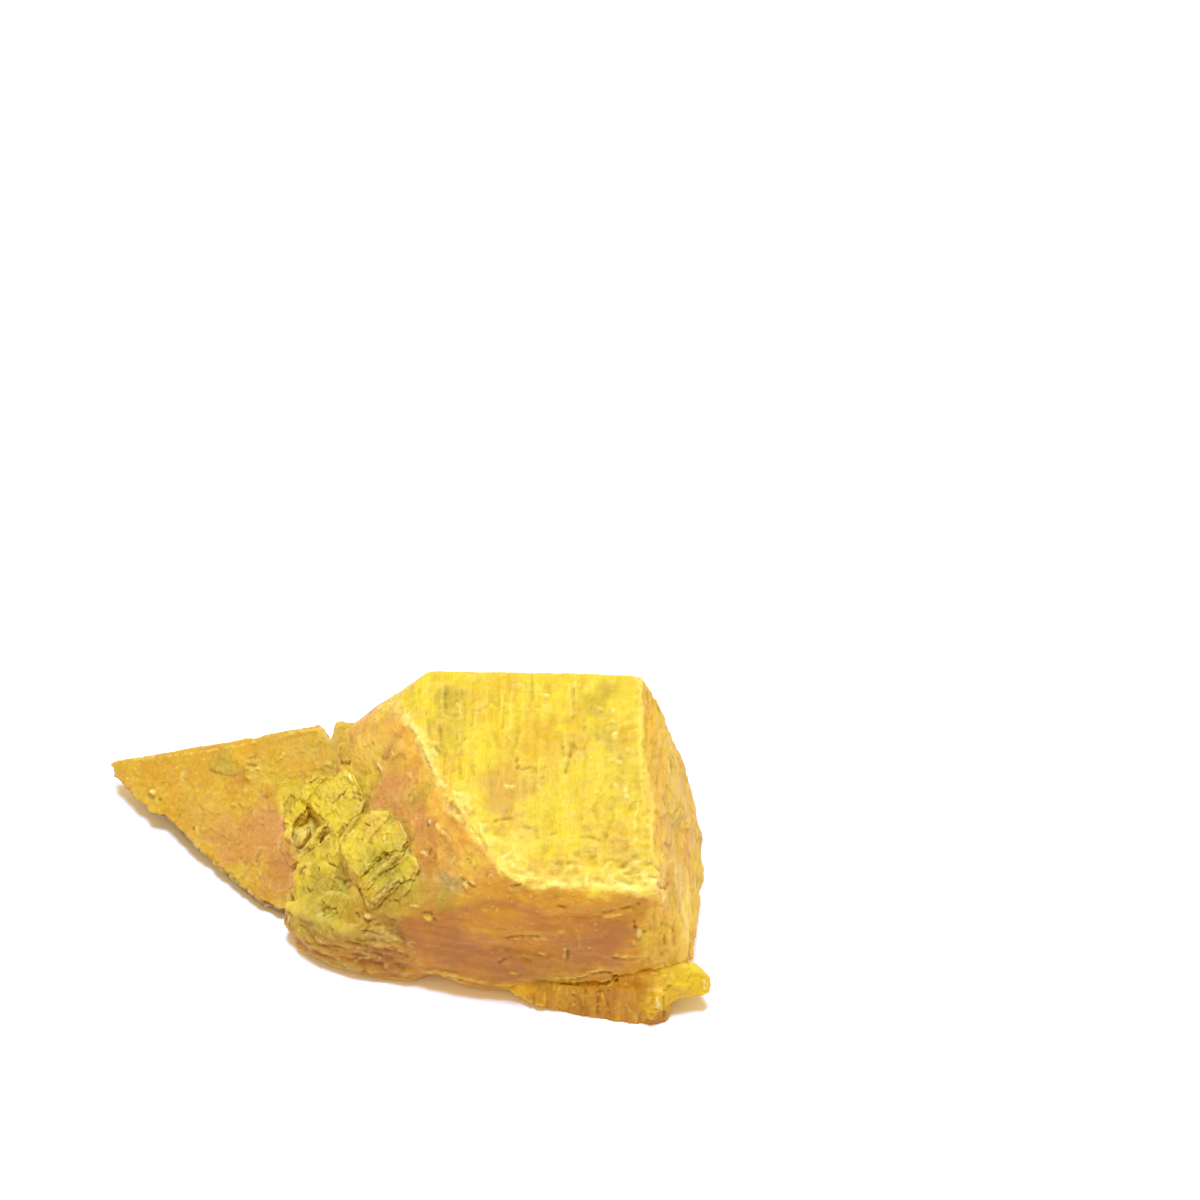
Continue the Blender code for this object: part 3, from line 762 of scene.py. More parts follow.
# Places and half sizes in the camera's frame, typed from looking and laid out by the same scratch program.
PATCHES: tuple[Patch, ...] = tuple(Patch(tint, *spot) for tint, spots in (
    (Tint.OLIVE, (
        (0.65, 609, 690, 10, 9), (0.65, 597, 706, 10, 8), (0.45, 606, 731, 8, 9), (0.4, 617, 746, 8, 6),
        (0.3, 629, 771, 7, 12),
    )),
    (Tint.AMBER, ((0.7, 627, 736, 11, 8), (0.9, 501, 770, 16, 10))),
    (Tint.SAND, ((0.6, 503, 786, 28, 14), (0.72, 503, 801, 18, 16))),
    (Tint.AMBER, ((0.78, 540, 744, 25, 25), (0.4, 470, 690, 20, 14))),
    (Tint.LEMON, ((0.9, 545, 812, 22, 20), (0.6, 590, 800, 18, 14), (0.5, 490, 740, 20, 22))),
    (Tint.OLIVE, ((0.4, 446, 740, 12, 20), (0.6, 449, 700, 8, 12))),
    (Tint.SAND, ((0.6, 618, 833, 7, 9), (0.6, 621, 858, 7, 9), (0.4, 560, 868, 30, 6))),
    (Tint.CREAM, ((0.5, 507, 858, 12, 9), (0.4, 520, 845, 16, 8))),
    (Tint.LEMON, ((0.6, 606, 866, 10, 12), (0.5, 625, 690, 12, 30))),
    (Tint.AMBER, ((0.5, 585, 862, 12, 8),)),
    (Tint.SAND, ((0.5, 656, 770, 11, 38), (0.6, 665, 827, 7, 12), (0.6, 668, 853, 6, 9))),
    (Tint.LEMON, ((0.4, 664, 735, 7, 26),)),
    (Tint.STRAW, ((0.5, 685, 900, 12, 40),)),
    (Tint.LEMON, ((0.6, 690, 915, 9, 22),)),
    (Tint.GOLD, ((0.4, 690, 890, 6, 8),)),
    (Tint.HONEY, ((0.3, 580, 893, 70, 5), (0.2, 500, 890, 40, 6))),
    (Tint.ROSE, ((0.9, 464, 950, 31, 17), (0.59, 450, 925, 26, 10), (0.78, 592, 953, 26, 16))),
    (Tint.RUST, ((0.72, 604, 930, 24, 17), (0.72, 516, 962, 26, 11), (0.72, 528, 977, 17, 6))),
    (Tint.BRONZE, ((0.4, 500, 920, 30, 10), (0.4, 642, 950, 16, 26))),
    # The second straw patch is painted light, lightening the slope's upper left where it lies in shade.
    (Tint.STRAW, ((0.6, 652, 940, 12, 22), (0.75, 366, 752, 16, 9))),
    (Tint.OLIVE, ((0.6, 548, 981, 11, 6), (0.45, 219, 762, 12, 8), (0.5, 222, 768, 12, 6))),
    (Tint.LEMON, ((0.5, 570, 979, 8, 4),)),
    (Tint.GOLD, ((0.7, 522, 989, 16, 6),)),
    (Tint.RUST, ((0.9, 406, 930, 16, 11),)),
    (Tint.MOSS, ((0.6, 383, 918, 14, 6),)),
    (Tint.HONEY, ((0.4, 335, 948, 25, 6),)),
    (Tint.ROSE, ((0.52, 425, 950, 26, 8),)),
    (Tint.BRONZE, ((0.5, 385, 975, 30, 6), (0.8, 236, 781, 9, 5))),
    (Tint.PEACH, ((0.55, 386, 789, 19, 16), (0.7, 417, 814, 14, 17))),
    (Tint.APRICOT, ((0.6, 374, 726, 24, 12),)),
    (Tint.HONEY, ((0.5, 395, 767, 12, 6), (0.6, 288, 765, 22, 12))),
    (Tint.MOSS, ((0.5, 420, 797, 9, 5),)),
    (Tint.APRICOT, ((0.85, 440, 800, 14, 30), (0.85, 470, 862, 22, 14), (0.7, 410, 748, 12, 22))),
    (Tint.SLATE, ((0.55, 449, 881, 5, 9),)),
    (Tint.ROSE, ((0.45, 428, 862, 16, 12),)),
    (Tint.MOSS, ((0.5, 445, 900, 12, 6),)),
    (Tint.GOLD, ((0.45, 240, 755, 12, 8), (0.6, 216, 852, 5, 5))),
    (Tint.STRAW, ((0.5, 240, 872, 9, 7),)),
    (Tint.PEACH, ((0.8, 264, 826, 20, 34), (0.8, 277, 876, 22, 26))),
    # The first rust patch, along the crust's left edge, is a painted shadow.
    (Tint.RUST, ((0.85, 288, 848, 7, 8), (0.7, 540, 965, 80, 16))),
    (Tint.PEACH, ((0.8, 240, 840, 41, 26),)),
    (Tint.SAND, ((0.5, 371, 829, 9, 9),)),
    (Tint.MOSS, ((0.75, 343, 882, 12, 14),)),
    (Tint.BRONZE, ((0.5, 356, 909, 7, 8),)),
    (Tint.SLATE, ((0.75, 392, 899, 15, 8),)),
    (Tint.MOSS, ((0.5, 415, 893, 9, 7), (0.6, 385, 866, 20, 6), (0.45, 400, 880, 12, 12))),
    (Tint.SAND, ((0.6, 305, 831, 8, 7),)),
    (Tint.CREAM, ((0.4, 311, 832, 7, 8),)),
    (Tint.MOSS, ((0.25, 310, 880, 14, 12),)),
    (Tint.LEMON, (
        (0.5, 310, 788, 16, 12), (0.4, 360, 855, 16, 14), (0.4, 345, 800, 16, 16), (0.8, 399, 692, 18, 12),
    )),
    (Tint.CREAM, ((0.55, 394, 699, 12, 7),)),
    (Tint.LEMON, ((0.7, 412, 684, 14, 8),)),
    (Tint.RUST, ((0.55, 460, 945, 40, 16),)),
    (Tint.ROSE, ((0.6, 478, 955, 40, 14), (0.5, 598, 935, 34, 14), (0.5, 430, 930, 22, 8))),
    (Tint.PEACH, ((0.8, 266, 835, 21, 40), (0.8, 285, 872, 23, 26), (0.5, 425, 835, 18, 26))),
    (Tint.SAND, ((0.5, 330, 745, 26, 18),)),
    (Tint.PEACH, ((0.5, 398, 780, 20, 12),)),
    (Tint.APRICOT, ((0.8, 392, 728, 16, 10), (0.6, 462, 835, 12, 22))),
    (Tint.OLIVE, (
        (0.7, 325, 898, 24, 14), (0.8, 352, 905, 16, 10), (0.9, 398, 903, 14, 9), (0.7, 343, 885, 12, 12),
        (0.4, 330, 935, 30, 10), (0.35, 455, 705, 8, 16),
    )),
    (Tint.RUST, ((0.6, 380, 962, 30, 10),)),
    (Tint.STRAW, ((0.6, 272, 768, 24, 16), (0.5, 290, 790, 14, 14), (0.6, 472, 862, 12, 8))),
    (Tint.GOLD, ((0.4, 222, 788, 16, 10), (0.6, 657, 1004, 10, 10))),
    (Tint.CREAM, ((0.5, 304, 832, 14, 12), (0.45, 380, 936, 14, 7))),
    (Tint.BUTTER, ((0.7, 598, 880, 22, 5),)),
    (Tint.STRAW, ((0.85, 684, 944, 14, 16),)),
    (Tint.HONEY, ((0.5, 618, 910, 20, 8),)),
    (Tint.RUST, ((0.35, 328, 946, 24, 8), (0.45, 506, 977, 26, 8), (0.42, 484, 974, 40, 10))),
    (Tint.APRICOT, ((0.5, 352, 770, 16, 14),)),
    (Tint.STRAW, ((0.5, 330, 790, 16, 12),)),
    (Tint.LEMON, (
        (0.45, 292, 790, 12, 10), (0.8, 338, 776, 18, 14), (0.6, 360, 784, 12, 12), (0.35, 652, 936, 10, 14),
    )),
    (Tint.MOSS, ((0.35, 372, 862, 16, 12),)),
    (Tint.OLIVE, ((0.4, 385, 910, 20, 12), (0.25, 686, 982, 22, 8))),
    (Tint.STRAW, (
        (0.6, 374, 762, 16, 12), (0.35, 398, 760, 12, 8), (0.45, 360, 806, 10, 8), (0.35, 312, 742, 40, 8),
    )),
    (Tint.MOSS, ((0.4, 402, 843, 10, 8), (0.35, 400, 866, 10, 10), (0.45, 382, 900, 24, 9))),
    (Tint.BRONZE, ((0.35, 364, 890, 10, 10),)),
    (Tint.ROSE, ((0.35, 424, 832, 14, 18), (0.3, 281, 866, 10, 16))),
    (Tint.APRICOT, ((0.4, 461, 822, 8, 12),)),
    (Tint.BRONZE, ((0.25, 266, 885, 14, 10), (0.35, 636, 980, 22, 10))),
    (Tint.SAND, ((0.3, 654, 808, 10, 36),)),
    (Tint.MOSS, ((0.3, 330, 914, 30, 7),)),
    # The butter patch here and the lemon patch below are painted light, lightening the crust's upper plateau
    # where it lies in shade.
    (Tint.BUTTER, ((0.45, 362, 762, 30, 14),)),
    (Tint.LEMON, ((0.5, 364, 782, 16, 14),)),
    (Tint.TERRACOTTA, ((0.45, 460, 820, 12, 22),)),
    (Tint.BRONZE, ((0.45, 376, 912, 56, 11), (0.38, 572, 979, 52, 11))),
    # The first butter patch is painted light, lightening the right face's foot where the light only grazes.
    (Tint.BUTTER, ((0.6, 686, 920, 13, 44), (0.35, 298, 832, 14, 22))),
    (Tint.MOSS, ((0.3, 380, 850, 20, 14),)),
    (Tint.RUST, ((0.4, 532, 884, 24, 9),)),
    (Tint.UMBER, ((0.12, 372, 913, 60, 10),)),
    (Tint.BRONZE, ((0.2, 426, 850, 14, 44),)),
    (Tint.RUST, ((0.25, 430, 920, 14, 26),)),
) for spot in spots)


# ----------------------------------------
# Shapes


@dataclass(frozen=True)
class Plane:
    """A tilted plane: its height at x = 0, y = 0, and how far it rises per millimetre along X and Y."""

    height: float
    rise_x: float = 0.0
    rise_y: float = 0.0

    def at(self, x: float, y: float) -> float:
        """Returns the plane's height over one place."""
        return self.height + self.rise_x * x + self.rise_y * y

    def over(self, points: Array) -> Array:
        """Returns how far each point is above the plane, straight up."""
        return points[:, 2] - self.at(points[:, 0], points[:, 1])

    def normal(self) -> Vector:
        """Returns the plane's upward normal."""
        return Vector((-self.rise_x, -self.rise_y, 1.0)).normalized()


def add_hull(shape: Shape, corners: tuple[Point, ...]) -> None:
    """Adds the convex hull of some corners, as a closed shell of its own.

    Args:
        shape: the bmesh that takes it.
        corners: the corners, in millimetres.
    """
    points = [shape.verts.new(corner) for corner in corners]
    hull = bmesh.ops.convex_hull(shape, input=points)
    inner = [item for item in hull["geom_interior"] if isinstance(item, bmesh.types.BMVert)]
    bmesh.ops.delete(shape, geom=inner, context="VERTS")


def add_prism(shape: Shape, outline: Outline, lower: Plane, upper: Plane) -> None:
    """Adds a block with upright sides over an outline, between two planes.

    Args:
        shape: the bmesh that takes it.
        outline: the block's outline, seen from above.
        lower: the plane of its underside.
        upper: the plane of its top.
    """
    base = shape.faces.new([shape.verts.new((x, y, lower.at(x, y))) for x, y in outline])
    raised = bmesh.ops.extrude_face_region(shape, geom=[base], use_keep_orig=True)
    for item in raised["geom"]:
        if isinstance(item, bmesh.types.BMVert):
            item.co.z = upper.at(item.co.x, item.co.y)


@dataclass(frozen=True)
class Plate:
    """One plate or hollow of the crust: its outline, and its plane's height at x = 0, y = 0."""

    outline: Outline
    height: float


@dataclass(frozen=True)
class Crust:
    """The crust of small plates between the left slope and the root of the tongue, with its hollows."""

    stair_tilt: tuple[float, float] = (0.60, 0.29)
    plateau_tilt: tuple[float, float] = (0.83, 0.39)
    slope_root: Plane = Plane(7.0, 0.60, 0.29)
    tongue_root: Plane = Plane(3.9, 0.18, 0.30)
    lid: Plane = Plane(22.0, 0.83, 0.39)
    # Most outlines are a scratch program's results, from places in the camera's frame and the tilted planes.
    stair: tuple[Plate, ...] = (
        Plate(((-5.8, -0.5), (-4.8, 0.7), (-3.8, 0.9), (-1.6, 0.2), (-0.5, -1.2), (0.2, -2.7), (-0.6, -3.5),
               (-1.6, -2.9), (-2.8, -3.6), (-3.7, -4.5), (-4.9, -2.8)), 12.5),
        Plate(((-3.8, -4.2), (-2.8, -3.3), (-1.7, -2.5), (-0.7, -3.0), (-0.1, -3.6), (-1.8, -4.6),
               (-3.3, -5.4)), 12.0),
        Plate(((-3.3, -5.2), (-1.9, -4.1), (-0.2, -3.1), (0.7, -3.9), (1.3, -5.0), (0.7, -5.7), (-0.4, -5.4),
               (-1.3, -6.0), (-2.2, -6.6), (-2.9, -6.4)), 11.6),
        Plate(((-1.3, -5.8), (-0.4, -5.1), (0.6, -5.3), (0.6, -6.1), (-0.3, -6.7), (-1.2, -6.4)),
              11.25),
    )
    plateau: tuple[Plate, ...] = (
        Plate(((-9.8, 5.8), (-9.5, 6.8), (-8.2, 7.6), (-7.3, 6.2), (-8.5, 5.6), (-9.2, 5.1)),
              12.4),
        Plate(((-8.6, 5.9), (-7.4, 6.5), (-5.7, 6.3), (-4.7, 5.1), (-3.7, 2.8), (-4.0, 1.7), (-5.0, 1.6),
               (-6.1, 0.8), (-7.6, 2.8), (-8.6, 4.6), (-9.3, 5.4)), 12.0),
        Plate(((-11.7, 7.4), (-10.2, 7.0), (-9.0, 4.6), (-10.0, 4.2), (-10.7, 3.1), (-11.4, 4.6)),
              11.9),
        Plate(((-11.4, 3.9), (-10.5, 3.4), (-9.5, 1.9), (-9.3, 1.1), (-10.2, 0.8), (-11.3, 2.6)),
              11.9),
        Plate(((-9.8, 1.3), (-8.6, 2.0), (-7.0, 1.8), (-6.1, 0.8), (-5.2, -1.5), (-5.4, -1.6), (-7.1, -0.5),
               (-9.4, 0.3)), 11.8),
        Plate(((-10.0, -0.1), (-9.4, 0.4), (-7.1, -0.6), (-6.0, -1.7), (-6.5, -3.2), (-7.5, -3.8),
               (-9.1, -3.0), (-10.0, -1.5)), 12.1),
        Plate(((-6.4, -3.6), (-5.0, -4.4), (-3.9, -5.4), (-3.8, -6.7), (-4.9, -6.7), (-7.1, -5.4),
               (-8.0, -3.9)), 12.5),
        Plate(((-7.2, -3.6), (-6.4, -1.3), (-5.1, -1.5), (-4.1, -3.1), (-3.6, -5.2), (-5.0, -4.6),
               (-6.4, -3.9)), 11.75),
    )
    hollows: tuple[Plate, ...] = (
        Plate(((-10.3, 4.4), (-9.0, 4.7), (-7.0, 2.0), (-7.7, 1.3), (-8.6, 1.2), (-9.5, 1.4), (-10.4, 3.2)),
              11.1),
        Plate(((-7.2, -4.5), (-5.6, -4.9), (-5.4, -5.8), (-6.9, -5.6)), 12.05),
    )
    hollow_blocks: tuple[Plate, ...] = (
        Plate(((-9.1, 2.0), (-8.0, 3.2), (-7.5, 2.6), (-8.6, 1.4)), 11.5),
        Plate(((-10.1, 2.8), (-9.1, 4.0), (-8.6, 3.5), (-9.6, 2.3)), 11.35),
    )

    def add_plates(self, shape: Shape) -> None:
        """Adds the plates' solid blocks.

        Args:
            shape: the bmesh that takes them.
        """
        for plate in self.stair:
            add_prism(shape, plate.outline, self.slope_root, Plane(plate.height, *self.stair_tilt))
        for plate in self.plateau:
            add_prism(shape, plate.outline, self.tongue_root, Plane(plate.height, *self.plateau_tilt))

    def add_hollows(self, shape: Shape) -> None:
        """Adds what is cut away among the plates to the bmesh."""
        for hollow in self.hollows:
            add_prism(shape, hollow.outline, Plane(hollow.height, *self.plateau_tilt), self.lid)

    def add_standing_blocks(self, shape: Shape) -> None:
        """Adds the blocks that stand in the widest hollow."""
        for block in self.hollow_blocks:
            add_prism(shape, block.outline, self.tongue_root, Plane(block.height, *self.plateau_tilt))

    def depth_inside(self, points: Array) -> Array:
        """Measures how far each point is inside the crust's outline, seen from above.

        Args:
            points: one row of three for each point.

        Returns:
            The distance to the outline, negative outside it.
        """
        best = np.full(len(points), -np.inf)
        for plate in self.stair + self.plateau + self.hollows:
            best = np.maximum(best, distance_into_outline(points, plate.outline))
        return best


@dataclass(frozen=True)
class Landmarks:
    """The edges of the tall block that wear round, and that carry pale bands of painted highlight."""

    ridge: Line = ((-1.6, 9.8, 13.4), (0.5, 6.7, 13.8), (3.3, -0.4, 14.0), (6.7, -5.3, 13.8),
                   (8.1, -7.5, 13.6), (10.5, -8.9, 13.3))
    ridge_foot: Line = ((4.4, -1.0, 14.0), (7.2, -5.0, 13.9), (8.8, -6.9, 13.7), (10.8, -8.2, 13.5))
    brow: Line = ((10.5, -8.9, 13.3), (15.4, -9.2, 13.5), (19.7, -9.5, 13.8))
    brow_crest: Line = ((9.6, -7.6, 13.5), (11.0, -8.35, 13.5), (15.4, -8.7, 13.7), (19.5, -9.0, 13.9))
    corner: Line = ((15.8, -8.6, 13.8), (17.8, -8.2, 14.0), (19.6, -9.0, 13.9), (20.2, -8.6, 12.6))
    right_edge: Line = ((19.7, -9.5, 13.8), (18.4, 7.9, 16.2), (18.8, 10.7, 16.4))
    back_edge: Line = ((-4.0, 13.0, 9.5), (-2.5, 13.0, 10.8), (1.1, 12.9, 14.3), (7.1, 12.9, 14.3),
                       (18.8, 10.7, 16.4))
    front_corner: Line = ((19.8, -10.0, 12.6), (19.8, -10.4, 8.5), (19.4, -10.9, 4.6))
    step: Line = ((8.0, -9.6, 1.4), (15.4, -11.4, 4.0), (20.5, -10.8, 4.6))


SHEETS: tuple[Layer, ...] = (
    Layer(Grain.WAVES, 0.035, (0.6, 9.0, 9.0), 57),
    Layer(Grain.TREADS, 0.09, (1.6, 8.0, 8.0), 83),
    Layer(Grain.BLOCKS, 0.12, (1.0, 2.4, 2.4), 89, bend_seeds=(86, 87, 88)),
    Layer(Grain.BLOCKS, 0.045, (0.7 / 1.3, 0.9 / 1.3, 0.9 / 1.3), 90, bend_seeds=(86, 87, 88)),
)
SPLINTERS: tuple[Layer, ...] = SHEETS + (
    Layer(Grain.TREADS, 0.26, (2.4, 4.0, 5.0), 85, 3, 0.35, 0.1),
    Layer(Grain.TREADS, 0.10, (0.9, 2.0, 2.4), 84, 2, 0.35, 0.1),
)
RIPPLES: tuple[Layer, ...] = (
    Layer(Grain.WAVES, 0.10, (6.0, 3.0, 1.4), 11),
    Layer(Grain.TREADS, 0.06, (4.0, 3.0, 1.2), 12),
    Layer(Grain.WAVES, 0.02, (1.6, 1.0, 0.4), 13),
    Layer(Grain.BLOCKS, 0.08, (2.2, 1.4, 0.9), 19, bend_seeds=(18,)),
)
LIP_STEPS = Layer(Grain.TREADS, 0.30, (3.6, 2.4, 0.9), 15, 3, 0.4, 0.1)
SCALES: tuple[Layer, ...] = (
    Layer(Grain.TREADS, 0.10, (2.4, 2.0, 2.0), 61, 3, 0.4, 0.1),
    Layer(Grain.BLOCKS, 0.12, (1.3, 1.2, 1.2), 65, bend=0.35, bend_seeds=(64,)),
    Layer(Grain.WAVES, 0.06, (1.0, 1.0, 1.0), 63),
)
CRUMBS: tuple[Layer, ...] = (
    Layer(Grain.TREADS, 0.08, (0.9, 0.9, 0.5), 41, 3),
    Layer(Grain.BLOCKS, 0.14, (1.4, 1.1, 1.1), 45, bend_size=1.1, bend_seeds=(44,)),
    Layer(Grain.WAVES, 0.03, (0.4, 0.4, 0.4), 43),
)

# The gains follow colour ratios that a scratch program worked out at sample spots. Most were rounded.
# Each face's gain is painted light and shade: it lightens or darkens the face's colours as a whole, and
# shifts their hue.
DRESSES: dict[Face, Dress] = {
    Face.TOP: Dress(Tint.LEMON, (0.93, 0.865, 0.47), SHEETS, (
        Mottle(Tint.STRAW, (3.0, 3.6, 3.0), 0.0, 0.4, 0.6),
        Mottle(Tint.AMBER, (1.6, 2.4, 2.4), 0.3, 0.9, 0.45, Grain.BLOCKS),
        Mottle(Tint.OLIVE, (0.5, 6.0, 6.0), 0.25, 0.7, 0.25),
        Mottle(Tint.SAND, (1.0, 0.8, 1.0), 0.5, 0.9, 0.35, Grain.BLOCKS),
        Mottle(Tint.CREAM, (0.8, 0.6, 0.8), 0.5, 0.9, 0.42, Grain.BLOCKS),
    )),
    Face.RIGHT: Dress(Tint.STRAW, (1.04, 0.97, 0.74), SPLINTERS, (
        Mottle(Tint.HONEY, (1.2, 6.0, 6.0), -0.2, 0.4, 0.75),
        Mottle(Tint.OLIVE, (1.0, 4.0, 4.0), 0.1, 0.5, 0.4),
        Mottle(Tint.SAND, (1.4, 5.0, 5.0), 0.0, 0.5, 0.7),
        Mottle(Tint.AMBER, (0.8, 3.0, 3.0), 0.2, 0.9, 0.5, Grain.BLOCKS),
        Mottle(Tint.CREAM, (0.5, 2.6, 2.6), 0.45, 0.7, 0.4),
    )),
    Face.FRONT: Dress(Tint.TERRACOTTA, (1.055, 1.125, 0.76), RIPPLES, (
        Mottle(Tint.RUST, (5.0, 3.0, 2.4), -0.1, 0.5, 0.6),
        Mottle(Tint.ROSE, (4.0, 3.0, 2.2), 0.0, 0.5, 0.6),
        Mottle(Tint.HONEY, (3.0, 2.0, 1.0), 0.1, 0.6, 0.4),
        Mottle(Tint.BRONZE, (1.8, 1.2, 0.6), 0.3, 0.9, 0.4, Grain.BLOCKS),
        Mottle(Tint.CREAM, (0.6, 0.6, 0.35), 0.6, 0.8, 0.4),
    )),
    Face.LIP: Dress(Tint.RUST, (0.99, 1.04, 1.18), (*RIPPLES, LIP_STEPS), (
        Mottle(Tint.HONEY, (2.6, 2.0, 0.9), 0.0, 0.4, 0.5),
        Mottle(Tint.OLIVE, (2.2, 2.0, 1.2), 0.0, 0.5, 0.6),
        Mottle(Tint.SAND, (1.4, 1.0, 0.6), 0.3, 0.9, 0.5, Grain.BLOCKS),
        Mottle(Tint.CREAM, (0.6, 0.6, 0.35), 0.55, 0.75, 0.4),
    )),
    Face.SLOPE: Dress(Tint.SAND, (0.90, 0.835, 0.68), SCALES, (
        Mottle(Tint.APRICOT, (3.0, 3.0, 3.0), -0.3, 0.3, 0.7),
        Mottle(Tint.PEACH, (2.4, 2.4, 2.4), 0.0, 0.45, 0.75),
        Mottle(Tint.TERRACOTTA, (1.2, 1.2, 1.2), 0.2, 0.9, 0.45, Grain.BLOCKS),
        Mottle(Tint.STRAW, (1.2, 1.2, 1.2), 0.4, 0.7, 0.4),
        Mottle(Tint.CREAM, (0.7, 0.7, 0.7), 0.6, 0.8, 0.5),
    )),
    Face.BACK: Dress(Tint.HONEY, (1.0, 1.0, 0.68), SPLINTERS, (
        Mottle(Tint.STRAW, (2.2, 4.0, 6.0), -0.1, 0.4, 0.6),
        Mottle(Tint.BRONZE, (1.6, 3.0, 5.0), 0.1, 0.5, 0.6),
        Mottle(Tint.OLIVE, (3.0, 3.0, 4.0), 0.3, 0.6, 0.4),
        Mottle(Tint.CREAM, (0.6, 1.0, 1.6), 0.5, 0.75, 0.4),
    )),
    Face.TONGUE: Dress(Tint.HONEY, (0.86, 0.845, 0.46), SCALES, (
        Mottle(Tint.AMBER, (4.0, 4.0, 4.0), 0.0, 0.4, 0.6),
        Mottle(Tint.SAND, (2.6, 2.6, 2.6), 0.0, 0.5, 0.5),
        Mottle(Tint.STRAW, (1.1, 1.1, 1.1), 0.2, 0.9, 0.4, Grain.BLOCKS),
        Mottle(Tint.OLIVE, (1.6, 1.6, 1.6), 0.45, 0.7, 0.3),
        Mottle(Tint.CREAM, (0.7, 0.7, 0.7), 0.6, 0.8, 0.4),
    )),
    # The tongue's lower side: dark umber as painted shade along the tongue's lower edge.
    Face.PAINTED_SHADE_RIM: Dress(Tint.UMBER, (0.97, 0.98, 0.85), SCALES, (
        Mottle(Tint.RUST, (2.0, 2.0, 0.5), 0.0, 0.4, 0.5),
        Mottle(Tint.BRONZE, (1.6, 1.6, 0.6), 0.3, 0.6, 0.4),
    )),
    Face.LEDGE: Dress(Tint.BRONZE, (1.03, 1.06, 0.38), SHEETS, (
        Mottle(Tint.HONEY, (0.9, 3.0, 4.0), 0.0, 0.4, 0.6),
        Mottle(Tint.RUST, (1.2, 3.0, 2.4), 0.15, 0.5, 0.5),
        Mottle(Tint.CREAM, (0.4, 1.0, 2.0), 0.5, 0.75, 0.4),
    )),
    Face.NUB: Dress(Tint.GOLD, (1.03, 1.17, 1.30), SCALES, (
        Mottle(Tint.AMBER, (1.6, 1.6, 1.6), 0.0, 0.5, 0.5),
        Mottle(Tint.CREAM, (0.9, 0.9, 0.9), 0.5, 0.8, 0.4),
    )),
    Face.CRUST: Dress(Tint.LEMON, (0.93, 0.905, 0.81), CRUMBS, (
        Mottle(Tint.STRAW, (2.6, 2.6, 2.6), -0.1, 0.4, 0.7),
        Mottle(Tint.OLIVE, (2.2, 2.2, 2.2), 0.0, 0.5, 0.75),
        Mottle(Tint.MOSS, (1.1, 1.1, 1.1), 0.3, 0.6, 0.4),
        Mottle(Tint.CREAM, (0.6, 0.6, 0.6), 0.6, 0.95, 0.3, Grain.BLOCKS),
    )),
}

# The cream and butter bands are a painted highlight along the edges, over real crumbs; the apricot band is a
# colour.
BANDS: tuple[Band, ...] = (
    Band(Tint.CREAM, 0.85, 0.42, 0.06, Landmarks.ridge),
    Band(Tint.BUTTER, 0.55, 1.00, 0.13, Landmarks.ridge_foot),
    Band(Tint.CREAM, 0.85, 0.50, 0.06, Landmarks.brow_crest),
    Band(Tint.CREAM, 0.55, 1.10, 0.20, Landmarks.corner),
    Band(Tint.BUTTER, 0.40, 0.30, 0.05, Landmarks.right_edge),
    Band(Tint.APRICOT, 0.35, 1.10, 0.03, Landmarks.front_corner),
)


@dataclass(frozen=True)
class Viewpoint:
    """The camera: where it stands in the design frame, in millimetres, and how it looks down."""

    place: Point = (15.416, -101.18, 136.751)
    pitch: float = math.radians(45.0)
    lens: float = 60.0
    sensor: float = 36.0
    nearest: float = 0.005

    def ray(self, across: float, down: float) -> Vector:
        """Finds the direction from the camera through a place in its frame.

        Args:
            across: how far right the place is in the frame.
            down: how far down it is.

        Returns:
            The direction, one unit long.
        """
        scale = self.sensor / (self.lens * FRAME_SIZE)
        right = (across - FRAME_SIZE / 2) * scale
        raised = (FRAME_SIZE / 2 - down) * scale
        lean, rise = math.cos(self.pitch), math.sin(self.pitch)
        return Vector((right, rise + raised * lean, raised * rise - lean)).normalized()

    def build(self) -> Object:
        """Makes the camera and hands it to the scene.

        Returns:
            The camera's object.
        """
        lens = bpy.data.cameras.new("camera")
        lens.lens = self.lens
        lens.sensor_width = self.sensor
        lens.clip_start = self.nearest
        camera = placed("camera", lens)
        camera.location = (Vector(self.place) - Vector(DESIGN_CENTRE)) * METRES_PER_MM
        camera.rotation_euler = (self.pitch, 0.0, 0.0)
        bpy.context.scene.camera = camera
        return camera


